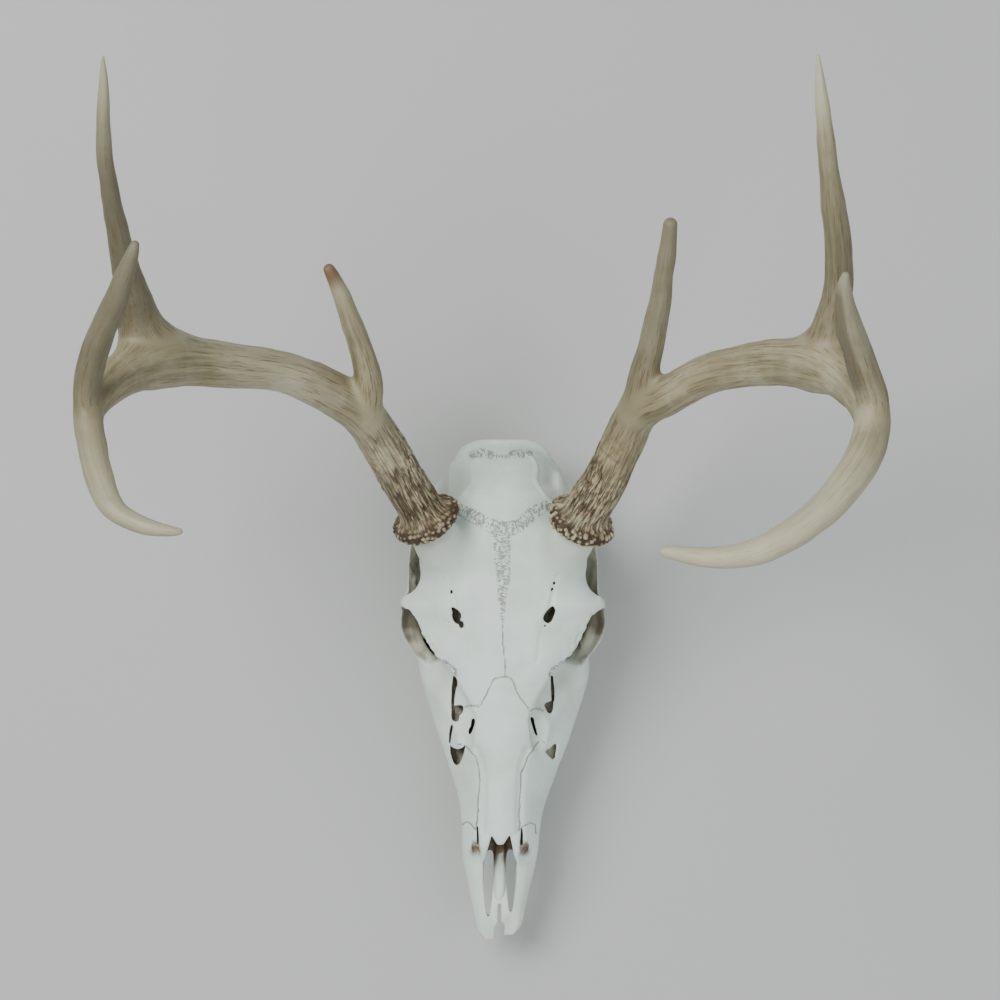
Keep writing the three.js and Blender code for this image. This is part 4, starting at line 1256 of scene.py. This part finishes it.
# the antlers
antlers = {
    # keys are [x, y, z, radius] on each antler's own side; forks count keys along the beam
    "right": {
        "forks": [4.6, 9, 11.5],
        "shade": {"beam": 0.25, "brow": 0.2, "second": 1.3, "third": 1.1},
        "rust": 1.0,
        "rustyPlaces": [(-99, 66, 188, 13), (-60, 10, 132, 10)],
        "palePlaces": [(-122, 67, 206, 26), (-142, 72, 229, 16), (-178, 82, 254, 16), (-60, 26, 140, 14)],
        "beam": [
            [-44.8, -7.1, 110.7, 12.9], [-46.8, -3.4, 113.4, 12.6], [-54.2, 9, 124, 12.1],
            [-65.8, 29.5, 140, 11.7], [-77.7, 46.9, 157, 11.7], [-96.2, 58.8, 178, 11.8],
            [-117.7, 66.8, 200, 10.7], [-142.1, 68.8, 221, 11.8], [-165.7, 70, 243, 13],
            [-184.7, 65.6, 263, 12.2], [-197.1, 55.4, 283, 9.9], [-203.9, 40.9, 302, 7.4],
            [-199.7, 21.6, 316, 7.2], [-195.2, 8.4, 326, 7], [-189.5, -2.4, 335, 6.2],
            [-182.6, -8.6, 340, 5.1], [-171, -13.6, 345, 4.2], [-159.3, -15.8, 347, 2.7],
            [-154.4, -16, 347, 1.7],
        ],
        "brow": [
            [-74.3, 46.8, 160, 7.2], [-72.2, 60.9, 172, 7.6], [-75.6, 78.8, 188, 6.3],
            [-79.9, 91.3, 199, 5.6], [-84.2, 103.8, 209, 4.7], [-88.4, 113.6, 217, 3.8],
            [-91, 118.6, 222, 3.1],
        ],
        "second": [
            [-178, 75.5, 250, 12.2], [-184.4, 89.6, 262, 11.2], [-187.2, 106, 279, 8.2],
            [-189.4, 124.3, 298, 6.2], [-191.4, 143.1, 317, 4.7], [-192.7, 162.1, 334, 4.1],
            [-191.7, 179.6, 348, 3.3], [-190.3, 197.2, 359, 2.1], [-190, 207.3, 364, 0.7],
        ],
        "third": [
            [-200.8, 26, 314, 2], [-203, 36, 309.5, 4.6], [-204.3, 46, 308.5, 6.3], [-203.2, 57, 312, 6.8],
            [-198.8, 69.8, 322, 6.8], [-193.3, 80.8, 333, 6.6], [-186.4, 92.3, 344, 6],
            [-181.4, 103.2, 352, 5], [-176.6, 114.2, 359, 3.4], [-174.8, 119.2, 361, 2.2],
        ],
    },
    "left": {
        "forks": [4.6, 9.1, 11.5],
        "shade": {"beam": 0.08, "brow": 0.85, "second": 0.6, "third": 0.6},
        "rust": 0.3,
        "rustyPlaces": [(160, 82, 262, 8), (64, 30, 150, 10)],
        "palePlaces": [(166, 10, 336, 30), (125, -22, 350, 45)],
        "beam": [
            [44.8, -7.1, 110.7, 12.9], [46.8, -3.4, 113.4, 12.6], [55.1, 10.3, 124, 12.1],
            [64.2, 30.9, 140, 11.7], [73.2, 49, 157, 11.3], [87.1, 56.2, 176, 10.4],
            [105.3, 66.2, 198, 10.4], [124.7, 70.4, 219, 11.1], [145.8, 71.5, 242, 12.3],
            [163.9, 66.6, 264, 12.1], [175.3, 55.8, 284, 10.4], [180.2, 42, 303, 9], [178, 31, 315, 9.1],
            [173.6, 21.4, 326, 9.1], [165.6, 10.2, 336, 8.8], [154.6, -2, 343, 8.2],
            [140.2, -13.4, 347, 7.5], [128.3, -20.4, 349.5, 6.9], [118.8, -24.4, 350, 6.4],
            [106.6, -26.4, 350.5, 5.6], [94.5, -26.5, 350, 4.8], [82.4, -24.8, 349, 3.6],
            [76.9, -23.9, 348, 2.6],
        ],
        "brow": [
            [70.9, 48.9, 160, 7.6], [73.9, 65.6, 173, 8], [77.4, 82.4, 188, 6.9], [80.5, 100, 203, 6],
            [82.2, 114.9, 215, 5.2], [83.8, 129.6, 226, 4.6], [84.6, 141.9, 235, 3.7],
        ],
        "second": [
            [163.2, 72.1, 252, 11], [163.8, 87.7, 264, 9.2], [165.8, 105.7, 281, 7.4],
            [164.2, 124.2, 298, 6.8], [159.8, 142.2, 316, 6.2], [155.6, 159.9, 332, 4.9],
            [152, 177.4, 346, 4.1], [148.9, 195, 357, 2.8], [146.6, 210, 364, 0.9],
        ],
        "third": [
            [178.5, 33, 316, 3], [180.2, 41, 312, 6], [180, 50, 310, 7.8], [176.4, 60.6, 312.8, 7.8],
            [171.2, 72.4, 323, 7.3], [165.6, 83.9, 335, 6.6], [163, 91, 342, 5.5], [161.6, 97.5, 347, 4.5],
            [161, 103.2, 351, 3.2], [161.3, 107.4, 354, 1.9],
        ],
    },
}
webSoftness = {"brow": 6, "second": 15, "third": 5}
antlerSettings = {
    "step": 0.62,
    "quickStep": 1.0,
    "band": 16,
    "segmentsPerKey": 4,
    "seeds": {"left": 11, "right": 23},
    "footLength": 75,
    "channelDepth": 1.15,
    "pearlSize": 2.4,
    "pearlHeight": 0.75,
    "knobSize": 2.8,
    "knobHeight": 2.1,
    "waveHeight": 0.35,
}
tineNames = ["brow", "second", "third"]
beamNames = ["beam_base", "beam_middle", "beam_bend", "beam_front"]


def cells(points, size, seed):
    # the distance, in cells, to the nearest of points scattered one in each cell
    p = points / size
    base = np.floor(p).astype(np.int64)
    best = np.full(len(points), 9.0)
    for i in range(27):
        near = base + np.array([i % 3 - 1, i // 3 % 3 - 1, i // 9 - 1])
        mixed = cellNumber(near, seed)
        away = np.zeros(len(points))
        for axis in range(3):
            mixed = scramble(mixed, axis)
            away += (near[:, axis] + 0.1 + 0.8 * mixed / 2**32 - p[:, axis]) ** 2
        best = np.minimum(best, away)
    return np.sqrt(best)


class Chain:
    # a smooth line of tapered round lengths, with a frame carried along it
    def __init__(self, keys):
        self.count = antlerSettings["segmentsPerKey"] * (len(keys) - 1) + 1
        self.points = curvePoints(keys, self.count)
        steps = np.linalg.norm(np.diff(self.points[:, :3], axis=0), axis=1)
        self.lengths = np.concatenate([[0], np.cumsum(steps)])
        ways = np.gradient(self.points[:, :3], axis=0)
        self.ways = ways / np.linalg.norm(ways, axis=1, keepdims=True)
        across = np.array([0, 0, 1.0])
        self.across = []
        for way in self.ways:
            across = across - way * (across @ way)
            across = across / np.linalg.norm(across)
            self.across.append(across)
        self.across = np.array(self.across)

    def fill(self, block):
        # distance to the chain near it, and a large number elsewhere
        values = np.full(block.values.shape, 60, np.float32)
        band = antlerSettings["band"]
        for start, end in zip(self.points[:-1], self.points[1:]):
            reach = max(start[3], end[3]) + band
            low = np.minimum(start, end)[:3] - reach
            high = np.maximum(start, end)[:3] + reach
            if (low > block.high).any() or (high < block.low).any():
                continue
            cut, x, y, z = block.part(low, high)
            values[cut] = np.minimum(values[cut], limbDistance([start, end], x, y, z))
        return values

    def near(self, points):
        # signed distance, length along, angle about and radius at the nearest place on the chain
        best = np.full(len(points), 1e9)
        along, radius, number, share = (np.zeros(len(points)) for _ in range(4))
        for i, (start, end) in enumerate(zip(self.points[:-1], self.points[1:])):
            edge = end[:3] - start[:3]
            t = np.clip((points - start[:3]) @ edge / (edge @ edge), 0, 1)
            r = start[3] + (end[3] - start[3]) * t
            away = np.linalg.norm(points - start[:3] - t[:, None] * edge, axis=1) - r
            closer = away < best
            best[closer] = away[closer]
            number[closer], share[closer], radius[closer] = i, t[closer], r[closer]
            along[closer] = (self.lengths[i] + t * (self.lengths[i + 1] - self.lengths[i]))[closer]
        i = number.astype(int)
        mix = share[:, None]
        middle = self.points[i, :3] * (1 - mix) + self.points[i + 1, :3] * mix
        way = self.ways[i] * (1 - mix) + self.ways[i + 1] * mix
        first = self.across[i] * (1 - mix) + self.across[i + 1] * mix
        second = np.cross(way, first)
        off = points - middle
        turn = np.arctan2((off * second).sum(1), (off * first).sum(1))
        return best, along, turn, radius, (number + share) / (self.count - 1)


def makeAntlerBlock(low, high, step, chains, side):
    low = np.floor(np.array(low) / step) * step
    block = Block(low, high, step)
    block.high = np.array([axis[-1] for axis in block.axes])
    block.values = chains["beam"].fill(block)
    for name in tineNames:
        block.values = join(block.values, chains[name].fill(block), webSoftness[name])
    centre = np.array(burr["centre"]) * [side, 1, 1]
    way = np.array(burr["way"]) * [side, 1, 1]
    way = way / np.linalg.norm(way)

    def height(x, y, z):
        return (x - centre[0]) * way[0] + (y - centre[1]) * way[1] + (z - centre[2]) * way[2]

    def ring(x, y, z):
        h = height(x, y, z)
        away = (x - centre[0]) ** 2 + (y - centre[1]) ** 2 + (z - centre[2]) ** 2 - h**2
        out = np.maximum(np.sqrt(np.maximum(away, 0)) - burr["core"], 0) / burr["reach"]
        return (np.sqrt(out**2 + ((h - 1.2 * out) / burr["half"]) ** 2) - 1) * burr["half"]

    if (centre + 30 > block.low).all() and (centre - 30 < block.high).all():
        block.add(ring, centre - 30, centre + 30, 6)
        block.carve(lambda x, y, z: height(x, y, z) + 5.2, centre - 34, centre + 30, 1.5)
    return block, centre, way


def antlerSpans(chains, keys):
    # the parts of an antler, each with the keys of a chain that it lies about, and where the beam is parted
    beam = chains["beam"]
    ends = [0] + [fork / (len(keys["beam"]) - 1) for fork in keys["forks"]] + [1]
    along = np.linspace(0, 1, beam.count)
    spans = {}
    for name, start, end in zip(beamNames, ends, ends[1:]):
        spans[name] = beam.points[(along >= start - 0.03) & (along <= end + 0.03)]
    for name in tineNames:
        spans[name + "_tine"] = chains[name].points
    spans["burr"] = np.array([[*beam.points[0, :3], 24]])
    return spans, ends


def antlerTone(points, normals, side, keys, owner, toTip, blend):
    # how dark each place is, from each limb's own tone and from painted shade on the inner side of the front
    # tine, less than zero where it is pale, and how rusty
    shade = (blend * np.array(list(keys["shade"].values()))[:, None]).sum(0) / blend.sum(0)
    rust = (owner == 1) * smooth(0.16, 0.02, toTip) * keys["rust"]

    def patch(place):
        return np.exp(-((np.linalg.norm(points - place[:3], axis=1) / place[3]) ** 2))

    for place in keys["rustyPlaces"]:
        rust = rust + 0.5 * patch(place)
    for place in keys["palePlaces"]:
        shade = shade - 0.8 * patch(place)
    # painted shade: the tine that rises from the front of the beam is darker on the side that looks inwards
    inner = smooth(-0.1, 0.6, -normals[:, 0] * side) * smooth(0.02, 0.2, toTip) * smooth(0.85, 0.55, toTip)
    shade = shade + (owner == 3) * 1.3 * inner - (owner == 2) * 0.9 * smooth(0.45, 0.05, toTip)
    return shade, rust


def antlerRelief(points, normals, side, seed, place, foot, toTip, calm, h, ringAway):
    # how far each place stands out, and the masks of what is there: channels that run along the foot,
    # pearls between them, and knobs on the burr
    sizes = antlerSettings
    waver = np.stack([noise(points, 5, seed + 7), noise(points, 5, seed + 8), 0 * h], 1)
    bent = place + 0.9 * waver
    outward = smooth(-0.5, 0.5, normals[:, 0] * side)
    patch = noise(place / [4.5, 4.5, 16], 1, seed + 2) + 0.6 * foot - 0.2 - 0.45 * outward
    patch = smooth(-0.1, 0.25, patch)
    broad = np.abs(noise(bent / [2.1, 2.1, 15], 1, seed))
    broad = broad + 0.3 * np.abs(noise(bent / [1.6, 1.6, 6], 1, seed + 12))
    channel = smooth(0.29, 0.1, broad) * patch * (1 - calm)
    finePatch = smooth(-0.2, 0.35, noise(place / [4, 4, 22], 1, seed + 9))
    narrow = np.abs(noise(bent / [2.1, 2.1, 18], 1, seed + 1))
    thin = smooth(0.26, 0.03, narrow) * finePatch * (1 - calm)
    pearls = np.clip(1 - cells(bent * [1, 1, 0.55], sizes["pearlSize"], seed) / 0.62, 0, 1) ** 0.6
    pearled = smooth(0.1, 0.6, foot) * smooth(0.0, 0.5, noise(place / [7, 7, 13], 1, seed + 3) + 0.3)
    knobs = np.clip(1 - cells(points, sizes["knobSize"], seed + 5) / 0.6, 0, 1) ** 0.55
    knobs = knobs * (0.75 + 0.35 * noise(points, 5, seed + 6))
    ringNear = np.exp(-((np.maximum(h - 1, 0) / 6.5) ** 2)) * (ringAway < 28) * (h > -9)
    depth = sizes["channelDepth"] * channel * foot**0.6
    depth = depth + thin * (0.12 + 0.4 * foot) * smooth(0, 0.25, toTip)
    lift = sizes["pearlHeight"] * pearls * pearled * (1 - ringNear)
    lift = lift + ringNear * (sizes["knobHeight"] * knobs - 0.9 + 0.9 * noise(points, 7, seed + 4))
    waves = sizes["waveHeight"] * noise(points, 9, seed + 4) * smooth(0.0, 0.2, toTip)
    relief = lift - depth * (1 - 0.8 * ringNear) + waves
    lined = np.clip(smooth(-0.35, 0.3, patch + foot - 0.5) * foot**0.5, 0, 1)
    return relief, {
        "groove": np.clip(channel * foot**0.4 * 1.1 + thin * foot * 0.5, 0, 1) * (1 - ringNear),
        "ridge": np.clip(pearls * pearled * 0.8 + ringNear * knobs, 0, 1),
        "lined": lined * (1 - calm) * (1 - 0.7 * ringNear),
        "pit": ringNear * (1 - smooth(0.15, 0.6, knobs)),
    }


def makeAntler(name, keys):
    step = antlerSettings["step"]
    side, seed = sides[name], antlerSettings["seeds"][name]
    chains = {key: Chain(keys[key]) for key in ["beam"] + tineNames}
    spans, ends = antlerSpans(chains, keys)
    tineStarts = np.array([0] + [chains["beam"].lengths[-1] * end for end in ends[1:4]])
    for number, (part, places) in enumerate(spans.items()):
        reach = places[:, 3:] + 9
        low, high = (places[:, :3] - reach).min(0), (places[:, :3] + reach).max(0)
        block, centre, way = makeAntlerBlock(low, high, step, chains, side)
        points, faces = block.skin()
        normals = block.slope(points)
        found = [chain.near(points) for chain in chains.values()]
        away = np.array([f[0] for f in found])
        owner = np.argmin(away, axis=0)
        along, turn, radius, share = (np.choose(owner, [f[i] for f in found]) for i in range(1, 5))
        off = points - centre
        h = off @ way
        ringAway = np.sqrt(np.maximum((off**2).sum(1) - h**2, 0))
        # which part each point belongs to: a length of the beam, a tine, or the burr
        label = np.where(owner == 0, np.searchsorted(ends[1:-1], share), 3 + owner)
        label = np.where((h < 5.5) & (ringAway < 26) & (h > -9), 7, label)
        # length from the burr, carried on up each tine from its fork
        fromFoot = along + tineStarts[owner]
        tineLength = np.array([chain.lengths[-1] for chain in chains.values()])[owner]
        toTip = np.clip(1 - along / tineLength, 0, 1)
        blend = np.exp(-np.maximum(away, -2) / 6)
        shade, rust = antlerTone(points, normals, side, keys, owner, toTip, blend)
        place = np.stack([np.cos(turn) * radius, np.sin(turn) * radius, fromFoot], 1)
        foot = np.clip(1 - fromFoot / antlerSettings["footLength"], 0, 1) ** 0.8
        flecks = smooth(0.1, 0.5, noise(place / [6, 6, 9], 1, seed + 6))
        rust = rust + 0.7 * flecks * smooth(0.45, 0.9, foot)
        near = np.sort(away, axis=0)
        calm = 1 - smooth(0, 6, near[1] - near[0])  # where one limb runs into another
        relief, masks = antlerRelief(points, normals, side, seed, place, foot, toTip, calm, h, ringAway)
        moved, turned = moveOut(points, faces, normals, relief)
        values = {
            **masks,
            "along": place,
            "calm": calm,
            "shade": np.clip(shade, -1, 1.2),
            "rust": np.clip(rust, 0, 1),
            "foot": foot,
            "toTip": toTip,
        }
        kept = faces[np.round(label[faces]).max(1) == number]
        finish = burrFinish if part == "burr" else antler
        placePiece(f"{name}_{part}_antler", moved, kept, turned, values, finish, [f"{name}_{part}"])
        print("antler piece:", name, part, len(kept))


for name, keys in antlers.items():
    makeAntler(name, keys)
